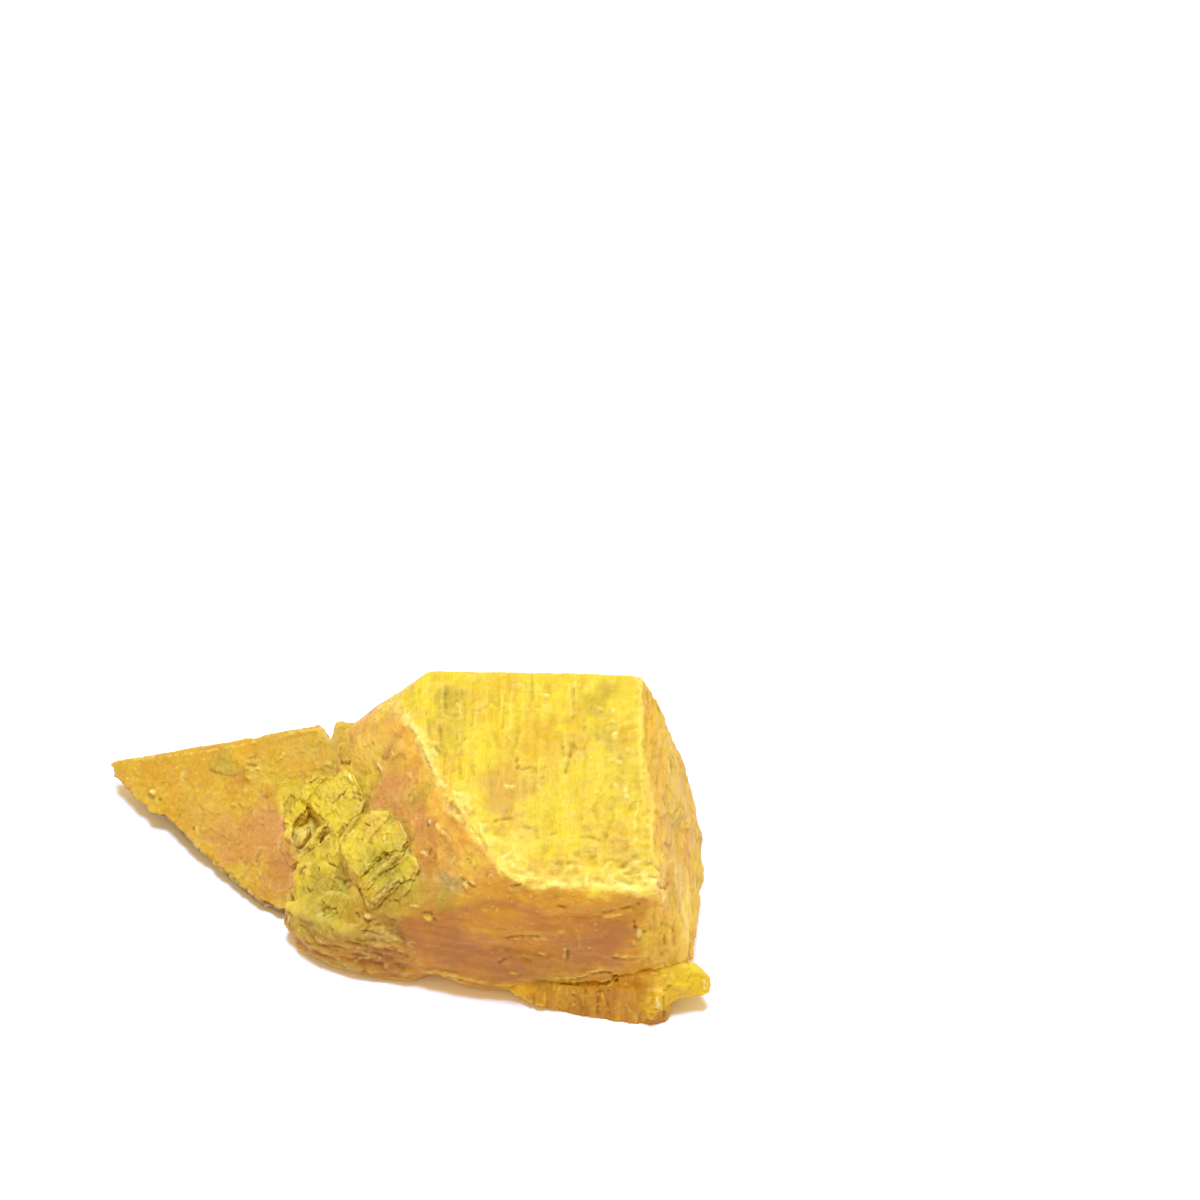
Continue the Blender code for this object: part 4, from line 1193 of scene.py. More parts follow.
@dataclass
class Sight:
    """Lands places in the camera's frame on the bare stone."""

    view: Viewpoint
    bare: list[Object]
    furthest: int = 14
    directions: int = 8
    least_reach: float = 1.1
    most_reach: float = 12.0

    def __post_init__(self) -> None:
        """Makes a search tree of each bare piece, in the design frame."""
        self.eye = Vector(self.view.place)
        self.trees = []
        for piece in self.bare:
            shape = bmesh.new()
            shape.from_mesh(piece.data)
            self.trees.append(BVHTree.FromBMesh(shape))
            shape.free()

    def hit(self, across: float, down: float) -> tuple[Vector, Vector] | None:
        """Finds where the line of sight through a place first meets the stone.

        Args:
            across: how far right the place is in the frame.
            down: how far down it is.

        Returns:
            The point on the stone and the normal there, or None where the line misses the stone.
        """
        hits = [tree.ray_cast(self.eye, self.view.ray(across, down)) for tree in self.trees]
        hits = [found for found in hits if found[0] is not None]
        if not hits:
            return None
        point, normal, _, _ = min(hits, key=lambda found: found[3])
        return point, normal

    def land(self, place: Place) -> tuple[Vector, Vector]:
        """Lands a place, or the nearest one on the stone where it lies just off the outline.

        Args:
            place: the place in the camera's frame.

        Returns:
            The point on the stone and the normal there.
        """
        for gap in range(self.furthest):
            for turn in range(self.directions):
                angle = math.tau * turn / self.directions
                found = self.hit(place[0] + gap * math.cos(angle), place[1] + gap * math.sin(angle))
                if found:
                    return found
        raise ValueError(f"the place {place} is off the stone")

    def line(self, course: Course) -> Line:
        """Returns a mark's course as a line on the stone."""
        return tuple(tuple(self.land(place)[0]) for place in zip(course[::2], course[1::2]))

    def spread(self, patch: Patch) -> tuple[Array, Array]:
        """Lands a patch.

        Args:
            patch: the patch.

        Returns:
            Its centre on the stone, and its reach along X, Y and Z, in millimetres.
        """
        centre, normal = self.land((patch.across, patch.down))
        reach = np.full(3, self.least_reach)
        for right, lower in ((patch.half_width, 0), (0, patch.half_height)):
            ray = self.view.ray(patch.across + right, patch.down + lower)
            edge = self.eye + ray * ((centre - self.eye).dot(normal) / ray.dot(normal))
            reach = np.maximum(reach, np.abs(np.array(edge - centre)))
        return np.array(centre), np.minimum(reach, self.most_reach)


def near_line(points: Array, line: Line, margin: float) -> Array:
    """Returns the numbers of the points in the box that stands off a line by a margin."""
    low, high = np.min(line, axis=0) - margin, np.max(line, axis=0) + margin
    return np.nonzero(np.all((points > low) & (points < high), axis=1))[0]


def blend(colours: Array, rows: Array | slice, share: Array, tint: Tint) -> None:
    """Mixes a share of a tint into some rows of colours, in place."""
    colours[rows] += share[:, None] * (np.array(tint.value) - colours[rows])


@dataclass
class Surface:
    """Gives every piece of the stone its relief and its colours, from where each vertex lies."""

    sight: Sight
    wave_height: float = 0.35
    wave_size: Point = (7.0, 7.0, 6.0)
    wave_roughness: float = 0.9
    wave_gap: float = 2.1
    undulation: Layer = Layer(Grain.WAVES, 0.07, (2.4, 2.4, 2.2), 31)
    top_crumbs: Layer = Layer(Grain.TREADS, 1.0, (1.5, 1.1, 1.2), 29, 3, 0.35, 0.1)
    top_height: float = 0.03
    top_front_height: float = 0.088
    top_front: Ramp = Ramp(1.0, -6.0)
    top_right_height: float = 0.055
    top_right: Ramp = Ramp(13.0, 17.0)
    front_crumbs: Layer = Layer(Grain.TREADS, 0.05, (1.6, 1.4, 1.2), 17, 3, 0.3, 0.1)
    front_right: Ramp = Ramp(16.0, 18.5)
    front_foot: Ramp = Ramp(9.0, 4.0)
    front_foot_from: Ramp = Ramp(6.0, 9.0)
    least_share: float = 0.001
    band_margin: float = 1.2
    band_wander: Layer = Layer(Grain.WAVES, 0.45, (1.6, 1.6, 1.6), 611, 3)
    band_outer: float = 0.25
    band_inner: float = 0.35
    band_crumbs: Layer = Layer(Grain.WAVES, 1.0, (1.5, 0.9, 0.8), 601, 3)
    band_riser: float = 0.3
    band_softness: float = 0.12
    band_gaps: Ramp = Ramp(-0.9, 0.1)
    # Painted glints on the bands' highest crumbs.
    band_glint: Ramp = Ramp(0.25, 0.55)
    band_glint_share: float = 0.4
    mark_margin: float = 0.6
    mark_wander: tuple[Layer, ...] = (
        Layer(Grain.WAVES, 0.13, (0.6, 0.6, 0.6), 401, 1), Layer(Grain.WAVES, 0.09, (0.3, 0.3, 0.3), 402, 1),
    )
    mark_full_width: float = 0.3
    mark_least_width: float = 0.2
    mark_swell: Layer = Layer(Grain.WAVES, 0.5, (0.8, 0.8, 0.8), 403, 1)
    mark_breaks: Layer = Layer(Grain.WAVES, 1.0, (0.42, 0.42, 0.42), 405, 1)
    mark_kept: Ramp = Ramp(-0.45, 0.05)
    mark_outer: float = 0.10
    mark_inner: float = 0.09
    mark_fade: Layer = Layer(Grain.WAVES, 0.4, (0.35, 0.35, 0.35), 404, 1)
    mark_body: float = 0.8
    mottle_seed: int = 300
    face_seeds: int = 17
    order_seeds: int = 3
    patch_warp_size: Point = (1.6, 1.6, 1.6)
    patch_warp_seeds: tuple[int, ...] = (201, 202, 203)
    patch_warp_share: float = 0.6
    patch_warp_most: float = 1.2
    patch_span: float = 2.2
    patch_margin: float = 0.8
    patch_edge: Ramp = Ramp(1.5, 0.5)
    palest: float = 0.95

    def __post_init__(self) -> None:
        """Lands the marks and the patches of the whole stone."""
        self.marks = [(group, self.sight.line(course)) for group in MARKS for course in group.courses]
        self.patches = [(patch, *self.sight.spread(patch)) for patch in PATCHES]

    def broad_waves(self, points: Array) -> Array:
        """Works out the long waves that all of the stone has.

        Args:
            points: vertex positions.

        Returns:
            The height for each vertex, in millimetres.
        """
        scaled = points / np.array(self.wave_size)
        waves = [noise.fractal(Vector(point), self.wave_roughness, self.wave_gap, 2) for point in scaled]
        return self.wave_height * np.array(waves)

    def relief_of(self, face: Face, points: Array) -> Array:
        """Works out one face's own fine relief.

        Args:
            face: which face.
            points: vertex positions.

        Returns:
            The height for each vertex, in millimetres.
        """
        relief = sum(layer.over(points) for layer in DRESSES[face].relief)
        x, y, z = points.T
        if face is Face.TOP:
            height = self.top_height + self.top_front_height * self.top_front.of(y)
            height += self.top_right_height * self.top_right.of(x)
            relief += height * self.top_crumbs.over(points)
        if face in (Face.FRONT, Face.LIP):
            rough = self.front_right.of(x) + self.front_foot.of(z) * self.front_foot_from.of(x)
            relief += np.clip(rough, 0.0, 1.0) * self.front_crumbs.over(points)
        return relief

    def relief(self, points: Array, normals: Array, shares: dict[Face, Array]) -> Array:
        """Works out how far each vertex moves along its normal.

        Args:
            points: vertex positions.
            normals: vertex normals.
            shares: each vertex's share of each face.

        Returns:
            The distance for each vertex, in millimetres.
        """
        total = self.broad_waves(points) + self.undulation.over(points)
        for face, share in shares.items():
            here = share > self.least_share
            if here.any():
                total[here] += share[here] * self.relief_of(face, points[here])
        for group, line in self.marks:
            near, share = self.mark_reach(points, normals, line, group.width)
            total[near] += group.height * share
        for number, band in enumerate(BANDS):
            near, share, crumbs = self.band_reach(points, band, number)
            total[near] += band.height * share * terraces(crumbs, self.band_riser, self.band_softness)
        return total

    def band_reach(self, points: Array, band: Band, number: int) -> tuple[Array, Array, Array]:
        """Finds the vertices that a band covers.

        Args:
            points: vertex positions.
            band: the band.
            number: which band it is, so that each has crumbs of its own.

        Returns:
            Which vertices are near it, how much of it each of those takes, and its crumbs there.
        """
        near = near_line(points, band.line, band.half_width + self.band_margin)
        spots = points[near]
        gap = distance_to_line(spots, band.line) + self.band_wander.over(spots) * band.half_width
        edge = Ramp(band.half_width + self.band_outer, band.half_width - self.band_inner)
        crumbs = replace(self.band_crumbs, seed=self.band_crumbs.seed + number)
        return near, edge.of(gap), crumbs.over(spots)

    def mark_reach(self, points: Array, normals: Array, line: Line, width: float) -> tuple[Array, Array]:
        """Finds the vertices that a mark touches.

        Args:
            points: vertex positions.
            normals: vertex normals.
            line: the mark's corners.
            width: the mark's width.

        Returns:
            Which vertices are near it, and how much of it each of those takes.
        """
        near = near_line(points, line, width + self.mark_margin)
        spots = points[near]
        wander = sum(layer.over(spots) for layer in self.mark_wander)
        gap = distance_to_line(spots, line, normals[near]) + wander * min(1.0, width / self.mark_full_width)
        half = max(width, self.mark_least_width) / 2 * (1.0 + self.mark_swell.over(spots))
        kept = self.mark_kept.of(self.mark_breaks.over(spots))
        return near, kept * Ramp(half + self.mark_outer, half - self.mark_inner).of(gap)

    def colours(self, points: Array, normals: Array, shares: dict[Face, Array]) -> Array:
        """Works out each vertex's colour, with painted light and shade from the face gains, bands, glints and
        marks.

        Args:
            points: vertex positions.
            normals: vertex normals.
            shares: each vertex's share of each face.

        Returns:
            One linear colour for each vertex.
        """
        total = np.full(len(points), self.least_share)
        colours = total[:, None] * np.array(Tint.HONEY.value)
        # Painted light and shade: each face's gain makes all its colours lighter or darker, and shifts their
        # hue, as a whole.
        painted_light_gains = np.zeros_like(colours)
        for number, (face, share) in enumerate(shares.items()):
            dress = DRESSES[face]
            here = share > self.least_share
            own = np.tile(np.array(dress.tint.value), (int(here.sum()), 1))
            for order, mottle in enumerate(dress.mottles):
                seed = self.mottle_seed + self.face_seeds * number + self.order_seeds * order
                blend(own, slice(None), mottle.share_of(points[here], seed), mottle.tint)
            colours[here] += share[here, None] * own
            painted_light_gains += share[:, None] * np.array(dress.gain)
            total += share
        colours /= total[:, None]

        warp = [fractal_noise(points, self.patch_warp_size, seed) for seed in self.patch_warp_seeds]
        warp = np.stack(warp, axis=1)
        for patch, centre, radii in self.patches:
            span = radii * self.patch_span + self.patch_margin
            near = np.nonzero(np.all(np.abs(points - centre) < span, axis=1))[0]
            moved = warp[near] * np.minimum(radii * self.patch_warp_share, self.patch_warp_most)
            reach = np.linalg.norm((points[near] + moved - centre) / radii, axis=1)
            blend(colours, near, patch.strength * self.patch_edge.of(reach), patch.tint)
        # The pale bands are a painted highlight along the edges, with painted glints on their highest crumbs.
        for number, band in enumerate(BANDS):
            near, share, crumbs = self.band_reach(points, band, number)
            share = band.strength * share * self.band_gaps.of(crumbs)
            blend(colours, near, share, band.tint)
            blend(colours, near, self.band_glint_share * share * self.band_glint.of(crumbs), Tint.PAINTED_GLINT)
        for group, line in self.marks:
            near, share = self.mark_reach(points, normals, line, group.width)
            share = share * group.strength * (self.mark_body + self.mark_fade.over(points[near]))
            blend(colours, near, np.clip(share, 0.0, 1.0), group.tint)
        return np.clip(colours * painted_light_gains / total[:, None], 0.0, self.palest)


@dataclass
class StonePiece:
    """One closed piece of the stone. Its kinds say which masses it has and which faces."""

    name: str = "piece"
    grid: float = 0.14
    softening: int = 6
    base_cut: float = 0.45
    wear_rounds: int = 45
    calm_rounds: int = 3
    hollow_rounds: int = 5
    hollow_depth: float = 0.08
    resting_height: Ramp = Ramp(1.4, 0.6)
    resting_turn: Ramp = Ramp(-0.5, -0.9)
    sheeted_faces: tuple[Face, ...] = (Face.RIGHT, Face.LEDGE, Face.BACK)
    streaks_least: float = 0.45
    streaks_more: float = 0.55
    streaks_left: Ramp = Ramp(9.0, 2.0)
    streaks_middle: Ramp = Ramp(-3.0, 3.0)
    streaks_back: Ramp = Ramp(8.0, 10.5)
    streaks_back_share: float = 0.7
    sharp_edge: float = math.radians(50.0)
    cut_tolerance: float = 1e-4

    def add_masses(self, shape: Shape) -> None:
        """Adds the piece's masses to the bmesh."""
        raise NotImplementedError

    def add_cuts(self, shape: Shape) -> None:
        """Adds what is cut away from the masses to the bmesh. Most pieces have nothing cut away."""

    def add_blocks(self, shape: Shape) -> None:
        """Adds what stands in the cuts to the bmesh. Most pieces have nothing there."""

    def shares(self, points: Array, normals: Array) -> dict[Face, Array]:
        """Returns how much of each face every vertex belongs to."""
        raise NotImplementedError

    def worn_share(self, points: Array) -> Array:
        """Returns how much each vertex lies on an edge that is worn round. Most pieces have none."""
        return np.zeros(len(points))

    def steady_share(self, points: Array) -> Array:
        """Returns how much each vertex lies on an edge that stays straight. Most pieces have none."""
        return np.zeros(len(points))

    def extra_moves(self, points: Array, normals: Array) -> Array:
        """Returns any move of each vertex beyond the relief, in millimetres. Most pieces have none."""
        return np.zeros_like(points)

    def rough_block(self) -> Object:
        """Fuses the piece's masses into one closed shell on an even grid.

        Returns:
            The rough block, in millimetres, in the design frame.
        """
        parts = []
        fills = {"masses": self.add_masses, "cuts": self.add_cuts, "blocks": self.add_blocks}
        for label, fill in fills.items():
            shape = bmesh.new()
            fill(shape)
            bmesh.ops.recalc_face_normals(shape, faces=shape.faces[:])
            parts.append(new_object(f"{self.name}_{label}", shape))
        block, cuts, blocks = parts
        for operation, other in (("DIFFERENCE", cuts), ("UNION", blocks)):
            if not other.data.polygons:
                continue
            step = block.modifiers.new(operation.lower(), "BOOLEAN")
            step.operation = operation
            step.solver = "EXACT"
            step.use_self = True
            step.object = other
        even = block.modifiers.new("even", "REMESH")
        even.mode = "VOXEL"
        even.voxel_size = self.grid
        fused = applied(block, f"{self.name}_fused")
        bpy.data.objects.remove(cuts)
        bpy.data.objects.remove(blocks)
        return fused

    def bare(self) -> Object:
        """Makes the bare piece: its masses fused, softened and worn, with no relief yet.

        Returns:
            The bare piece, in millimetres, in the design frame.
        """
        block = self.rough_block()
        edges = edge_array(block.data)
        points = neighbour_mean(vertex_array(block.data), edges, self.softening)
        worn = self.worn_share(points)
        if worn.any():
            points += worn[:, None] * (neighbour_mean(points, edges, self.wear_rounds) - points)
        move_vertices(block.data, points)
        return block

    def finished(self, block: Object, surface: Surface) -> Object:
        """Gives the bare piece its relief and its colours.

        Args:
            block: the bare piece.
            surface: the stone's relief and colours.

        Returns:
            The piece's object, in the model's frame.
        """
        mesh = block.data
        edges = edge_array(mesh)
        points = vertex_array(mesh)
        calm = neighbour_mean(normal_array(mesh), edges, self.calm_rounds)
        calm /= np.linalg.norm(calm, axis=1)[:, None]
        shares = self.shares(points, calm)
        colours = surface.colours(points, calm, shares)
        resting = self.resting_height.of(points[:, 2]) * self.resting_turn.of(calm[:, 2])
        height = surface.relief(points, calm, shares) * (1.0 - resting) * (1.0 - self.steady_share(points))
        moved = points + calm * height[:, None] + self.extra_moves(points, calm)
        move_vertices(mesh, moved)

        # Painted shade and highlight: how far each vertex lies below or above its neighbours, which the
        # finish turns into umber painted shade in hollows and a cream painted highlight on crests.
        dip = np.sum((neighbour_mean(moved, edges, self.hollow_rounds) - moved) * normal_array(mesh), axis=1)
        store_tint(mesh, colours)
        for label, side in (("hollow", dip), ("painted_crest_highlight", -dip)):
            store(mesh, label, neighbour_mean(np.clip(side / self.hollow_depth, 0.0, 1.0), edges, 1))
        store(mesh, "sheeted", self.sheeted_share(points, shares))

        shape = bmesh.new()
        shape.from_mesh(mesh)
        self.lay_flat(shape)
        to_row_frame(shape)
        shape.to_mesh(mesh)
        shape.free()
        mesh.shade_smooth()
        mesh.set_sharp_from_angle(angle=self.sharp_edge)
        piece = bpy.data.objects.new(self.name, mesh)
        bpy.context.scene.collection.objects.link(piece)
        bpy.data.objects.remove(block)
        return piece

    def sheeted_share(self, points: Array, shares: dict[Face, Array]) -> Array:
        """Finds how much each vertex shows the cleavage's streaks.

        Args:
            points: vertex positions, before the relief.
            shares: each vertex's share of each face.

        Returns:
            A share from 0 to 1 for each vertex.
        """
        x, y, _ = points.T
        left = self.streaks_left.of(x) * self.streaks_middle.of(y)
        back = self.streaks_back_share * self.streaks_back.of(y)
        streaks = np.maximum(self.streaks_least + self.streaks_more * left, back)
        sheeted = sum(shares.get(face, 0.0) for face in self.sheeted_faces)
        return np.clip(sheeted + shares.get(Face.TOP, 0.0) * streaks, 0.0, 1.0)

    def lay_flat(self, shape: Shape) -> None:
        """Cuts the flat face that the piece rests on and closes the cut.

        Args:
            shape: the piece, in millimetres, in the design frame.
        """
        everything = shape.verts[:] + shape.edges[:] + shape.faces[:]
        cut = bmesh.ops.bisect_plane(
            shape, geom=everything, dist=self.cut_tolerance, plane_co=(0.0, 0.0, self.base_cut),
            plane_no=(0.0, 0.0, 1.0), clear_inner=True,
        )
        rim = [item for item in cut["geom_cut"] if isinstance(item, bmesh.types.BMEdge)]
        bmesh.ops.holes_fill(shape, edges=rim, sides=0)
        bmesh.ops.triangulate(shape, faces=[face for face in shape.faces if len(face.verts) > 4])


@dataclass
class Body(StonePiece):
    """The tall block with its top, its right face, its front, its left slope and the low lip at its foot."""

    name: str = "body"
    grid: float = 0.162
    crust: Crust = field(default_factory=Crust)
    block: tuple[Point, ...] = (
        (-1.6, 9.8, 13.4), (0.5, 6.7, 13.8), (3.3, -0.4, 14.0), (6.7, -5.3, 13.8), (8.1, -7.5, 13.6),
        (10.5, -8.9, 13.3), (15.4, -9.2, 13.5), (19.7, -9.5, 13.8),
        (-0.9, 9.0, 13.9), (8.5, 7.8, 15.2), (18.4, 7.9, 16.2),
        (1.1, 12.9, 14.3), (7.1, 12.9, 14.2), (12.1, 11.3, 14.9), (18.8, 10.5, 16.3), (-2.5, 13.0, 10.8),
        (-4.0, 13.0, 9.5),
        (10.8, -9.4, 11.9), (19.8, -10.0, 12.0),
        (-7.2, 11.9, 6.7), (-6.2, 7.0, 6.0), (-4.7, 1.8, 7.0), (-5.2, -4.4, 5.2), (-4.9, -6.8, 5.8),
        (-1.2, -7.4, 7.3), (2.1, -7.7, 9.3),
        (-2.3, -8.8, 0.9), (0.0, -9.0, 0.9), (1.7, -8.7, 1.1), (3.4, -8.8, 1.1), (6.4, -9.3, 1.0),
        (7.9, -9.6, 1.0), (15.4, -11.4, 4.0), (20.5, -10.8, 4.6),
        (20.7, 8.6, 14.2), (21.9, 7.0, 12.0), (22.4, 5.1, 9.8), (24.1, 2.5, 5.2), (23.2, -2.0, 4.0),
        (23.2, -8.8, 3.4),
        (17.5, 15.0, 6.0), (6.0, 17.2, 6.5), (-2.5, 16.2, 6.0), (16.0, 14.6, 0.0), (5.0, 16.4, 0.0),
        (22.4, 4.0, 0.0), (22.6, -6.0, 0.0), (-3.0, -7.0, 0.0), (-6.5, -2.0, 0.0), (-5.5, 12.0, 0.0),
        (7.0, -8.4, 0.0),
    )
    lower_lip: tuple[Point, ...] = (
        (-10.5, -3.3, 3.6), (-10.2, -3.9, 3.0), (-10.2, -4.2, 2.0), (-9.4, -5.0, 1.0), (-9.1, -5.8, 0.9),
        (-7.2, -6.9, 0.9), (-4.0, -8.3, 0.9), (-1.5, -8.9, 0.9), (-4.9, -7.3, 5.8), (-1.1, -7.8, 6.6),
        (-7.8, -5.4, 4.6), (-8.6, -3.0, 3.6), (-9.0, -3.0, 0.5), (-5.5, -3.0, 0.0), (0.0, -4.0, 0.0),
        (-2.0, -2.0, 6.5), (-6.5, -2.5, 4.8),
    )
    worn_edges: tuple[tuple[Line, float, float], ...] = (
        (Landmarks.ridge, 0.6, 0.35), (Landmarks.brow, 1.1, 0.9), (Landmarks.front_corner, 1.8, 1.0),
        (Landmarks.step, 1.2, 1.0),
    )
    worn_outer: float = 0.6
    worn_inner: float = 0.4
    steadiness: float = 0.7
    steady_reach: Ramp = Ramp(1.8, 0.4)
    arch_middle: float = 2.3
    arch_width: float = 1.5
    arch_depth: float = 1.0
    arch_height: Ramp = Ramp(2.6, 1.2)
    arch_front: Ramp = Ramp(-6.0, -7.5)
    wander: Layer = Layer(Grain.WAVES, 0.25, (2.0, 2.0, 2.0), 5, 3)
    crust_edge: Ramp = Ramp(-0.9, 0.1)
    crust_wander: float = 3.0
    crust_turn: Ramp = Ramp(0.2, -0.3)
    lip_turn: Ramp = Ramp(0.35, 0.65)
    lip_height: Ramp = Ramp(9.0, 7.5)
    lip_left: Ramp = Ramp(1.5, 0.0)
    lip_crust: float = 0.85
    top_turn: Ramp = Ramp(0.88, 0.955)
    top_height: Ramp = Ramp(11.0, 11.8)
    shoulder_turn: Ramp = Ramp(0.45, 0.62)
    shoulder_height: Ramp = Ramp(9.9, 10.6)
    shoulder_back: Ramp = Ramp(9.3, 10.3)
    corner_place: float = 16.158
    corner_lean: float = 0.27
    corner_wander: float = 2.5
    corner_edge: Ramp = Ramp(-0.7, 0.7)
    side_turn: Ramp = Ramp(0.3, 0.6)
    side_place: Ramp = Ramp(17.0, 18.0)
    right_turn: Ramp = Ramp(-0.35, 0.1)
    back_turn: Ramp = Ramp(0.50, 0.80)
    slope_turn: Ramp = Ramp(0.25, 0.50)
    slope_height: Ramp = Ramp(5.6, 6.8)
    slope_wander: float = 2.0
    lip_end: Ramp = Ramp(1.2, -1.4)
    lip_wander: float = 4.0

    def add_masses(self, shape: Shape) -> None:
        """Adds the block and the lip."""
        add_hull(shape, self.block)
        add_hull(shape, self.lower_lip)

    def add_cuts(self, shape: Shape) -> None:
        """Adds the crust's hollows."""
        self.crust.add_hollows(shape)

    def worn_share(self, points: Array) -> Array:
        """Finds how much each vertex lies on an edge that is worn round.

        Args:
            points: vertex positions.

        Returns:
            A share from 0 to 1 for each vertex.
        """
        worn = np.zeros(len(points))
        for line, reach, share in self.worn_edges:
            edge = Ramp(reach + self.worn_outer, reach - self.worn_inner)
            worn = np.maximum(worn, share * edge.of(distance_to_line(points, line)))
        return worn

    def steady_share(self, points: Array) -> Array:
        """Returns how much each vertex lies on the back edge of the top, which stays nearly straight."""
        return self.steadiness * self.steady_reach.of(distance_to_line(points, Landmarks.back_edge))

    def extra_moves(self, points: Array, normals: Array) -> Array:
        """Hollows the arch under the front's foot.

        Args:
            points: vertex positions, before the relief.
            normals: not used.

        Returns:
            The move of each vertex, in millimetres.
        """
        x, y, z = points.T
        arch = np.exp(-(((x - self.arch_middle) / self.arch_width) ** 2))
        arch = self.arch_depth * arch * self.arch_height.of(z) * self.arch_front.of(y)
        return np.stack([np.zeros(len(x)), arch, np.zeros(len(x))], axis=1)

    def shares(self, points: Array, normals: Array) -> dict[Face, Array]:
        """Finds how much of each face every vertex belongs to.

        Args:
            points: vertex positions, before the relief.
            normals: the normals there.

        Returns:
            Each vertex's share of each face, from 0 to 1.
        """
        x, y, z = points.T
        nx, ny, nz = normals.T
        wander = self.wander.over(points)
        crust = self.crust_edge.of(self.crust.depth_inside(points) + self.crust_wander * wander)
        crust *= self.crust_turn.of(ny)
        lip_top = self.lip_turn.of(nz + wander) * self.lip_height.of(z) * self.lip_left.of(x)
        crust = np.maximum(crust, self.lip_crust * lip_top)
        shoulder = self.shoulder_turn.of(nz) * self.shoulder_height.of(z) * self.shoulder_back.of(y)
        top = np.maximum(self.top_turn.of(nz) * self.top_height.of(z), shoulder)
        corner = self.corner_place + self.corner_lean * z + self.corner_wander * wander
        side = self.side_turn.of(nx) * self.side_place.of(x)
        right = np.maximum(self.corner_edge.of(x - corner), side) * self.right_turn.of(nx) * (1.0 - top)
        back = self.back_turn.of(ny) * (1.0 - right) * (1.0 - top)
        slope = self.slope_turn.of(-nx) * self.slope_height.of(z + self.slope_wander * wander) * (1.0 - back)
        rest = np.clip(1.0 - top - right - back - slope, 0.0, 1.0)
        lip = rest * self.lip_end.of(x + self.lip_wander * wander)
        return {
            Face.TOP: top,
            Face.RIGHT: right,
            Face.FRONT: rest - lip,
            Face.LIP: lip * (1.0 - crust),
            Face.SLOPE: slope * (1.0 - crust),
            Face.BACK: back,
            Face.CRUST: crust * (1.0 - top) * (1.0 - back),
        }


@dataclass
class Tongue(StonePiece):
    """The thin tongue that reaches to the left, with the nick in its back edge."""

    name: str = "tongue"
    grid: float = 0.13
    crust: Crust = field(default_factory=Crust)
    wedge: tuple[Point, ...] = (
        (-27.7, 12.6, 3.05), (-25.3, 10.4, 2.8), (-21.1, 6.2, 2.35), (-17.1, 2.3, 2.0), (-15.1, 0.5, 1.9),
        (-12.7, -1.4, 1.8), (-10.9, -2.4, 1.8), (-16.3, 12.5, 4.4), (-8.5, 13.0, 6.1), (-4.6, 13.0, 8.3),
        (-1.6, 9.4, 6.9), (-5.6, -2.6, 2.7),
        (-26.8, 12.2, 2.5), (-24.5, 10.1, 2.0), (-20.6, 6.5, 1.5), (-16.8, 2.6, 1.0), (-14.9, 0.7, 0.8),
        (-12.7, -1.2, 0.7), (-11.0, -2.1, 0.7), (-17.0, 12.3, 3.0),
        (-9.0, 12.8, 2.0), (-13.0, 6.0, 0.3), (-9.0, 1.0, 0.0), (-8.0, 11.0, 0.0), (-3.0, 13.0, 0.0),
        (-3.0, 0.0, 0.0),
    )
    tip: tuple[Point, ...] = (
        (-27.7, 12.6, 3.05), (-27.0, 10.8, 2.85), (-25.4, 9.4, 2.65), (-23.1, 7.1, 2.45), (-22.3, 6.9, 2.4),
        (-20.5, 9.0, 2.7), (-22.0, 12.5, 3.4), (-26.8, 12.2, 2.5), (-26.0, 11.0, 2.3), (-24.7, 9.9, 2.1),
        (-22.7, 7.8, 1.8), (-21.9, 7.6, 1.7), (-20.6, 8.5, 1.7),
    )
    nick: Outline = ((-8.9, 17.0), (-8.8, 13.0), (-7.6, 11.4), (-7.25, 12.5), (-7.2, 17.0))
    nick_floor: Plane = Plane(21.2, 0.0, -1.4)
    back_edge: Line = ((-27.7, 12.6, 3.0), (-16.3, 12.5, 4.4), (-9.5, 12.9, 5.9))
    steadiness: float = 0.6
    steady_reach: Ramp = Ramp(1.8, 0.4)
    wander: Layer = Layer(Grain.WAVES, 0.25, (2.0, 2.0, 2.0), 5, 3)
    upper_turn: Ramp = Ramp(0.45, 0.75)
    crust_edge: Ramp = Ramp(-0.7, 0.1)
    crust_wander: float = 2.0
    back_turn: Ramp = Ramp(0.40, 0.70)

    def steady_share(self, points: Array) -> Array:
        """Returns how much each vertex lies on the back edge, which stays nearly straight."""
        return self.steadiness * self.steady_reach.of(distance_to_line(points, self.back_edge))

    def add_masses(self, shape: Shape) -> None:
        """Adds the wedge and its blunt tip."""
        add_hull(shape, self.wedge)
        add_hull(shape, self.tip)

    def add_cuts(self, shape: Shape) -> None:
        """Adds the crust's hollows and the nick."""
        self.crust.add_hollows(shape)
        add_prism(shape, self.nick, self.nick_floor, self.crust.lid)

    def shares(self, points: Array, normals: Array) -> dict[Face, Array]:
        """Finds how much of each face every vertex belongs to.

        Args:
            points: vertex positions, before the relief.
            normals: the normals there.

        Returns:
            Each vertex's share of each face, from 0 to 1.
        """
        upper = self.upper_turn.of(normals[:, 2])
        depth = self.crust.depth_inside(points) + self.crust_wander * self.wander.over(points)
        crust = upper * self.crust_edge.of(depth)
        back = self.back_turn.of(normals[:, 1]) * (1.0 - upper)
        return {
            Face.TONGUE: upper - crust,
            Face.CRUST: crust,
            Face.BACK: back,
            Face.PAINTED_SHADE_RIM: np.clip(1.0 - upper - back, 0.0, 1.0),
        }


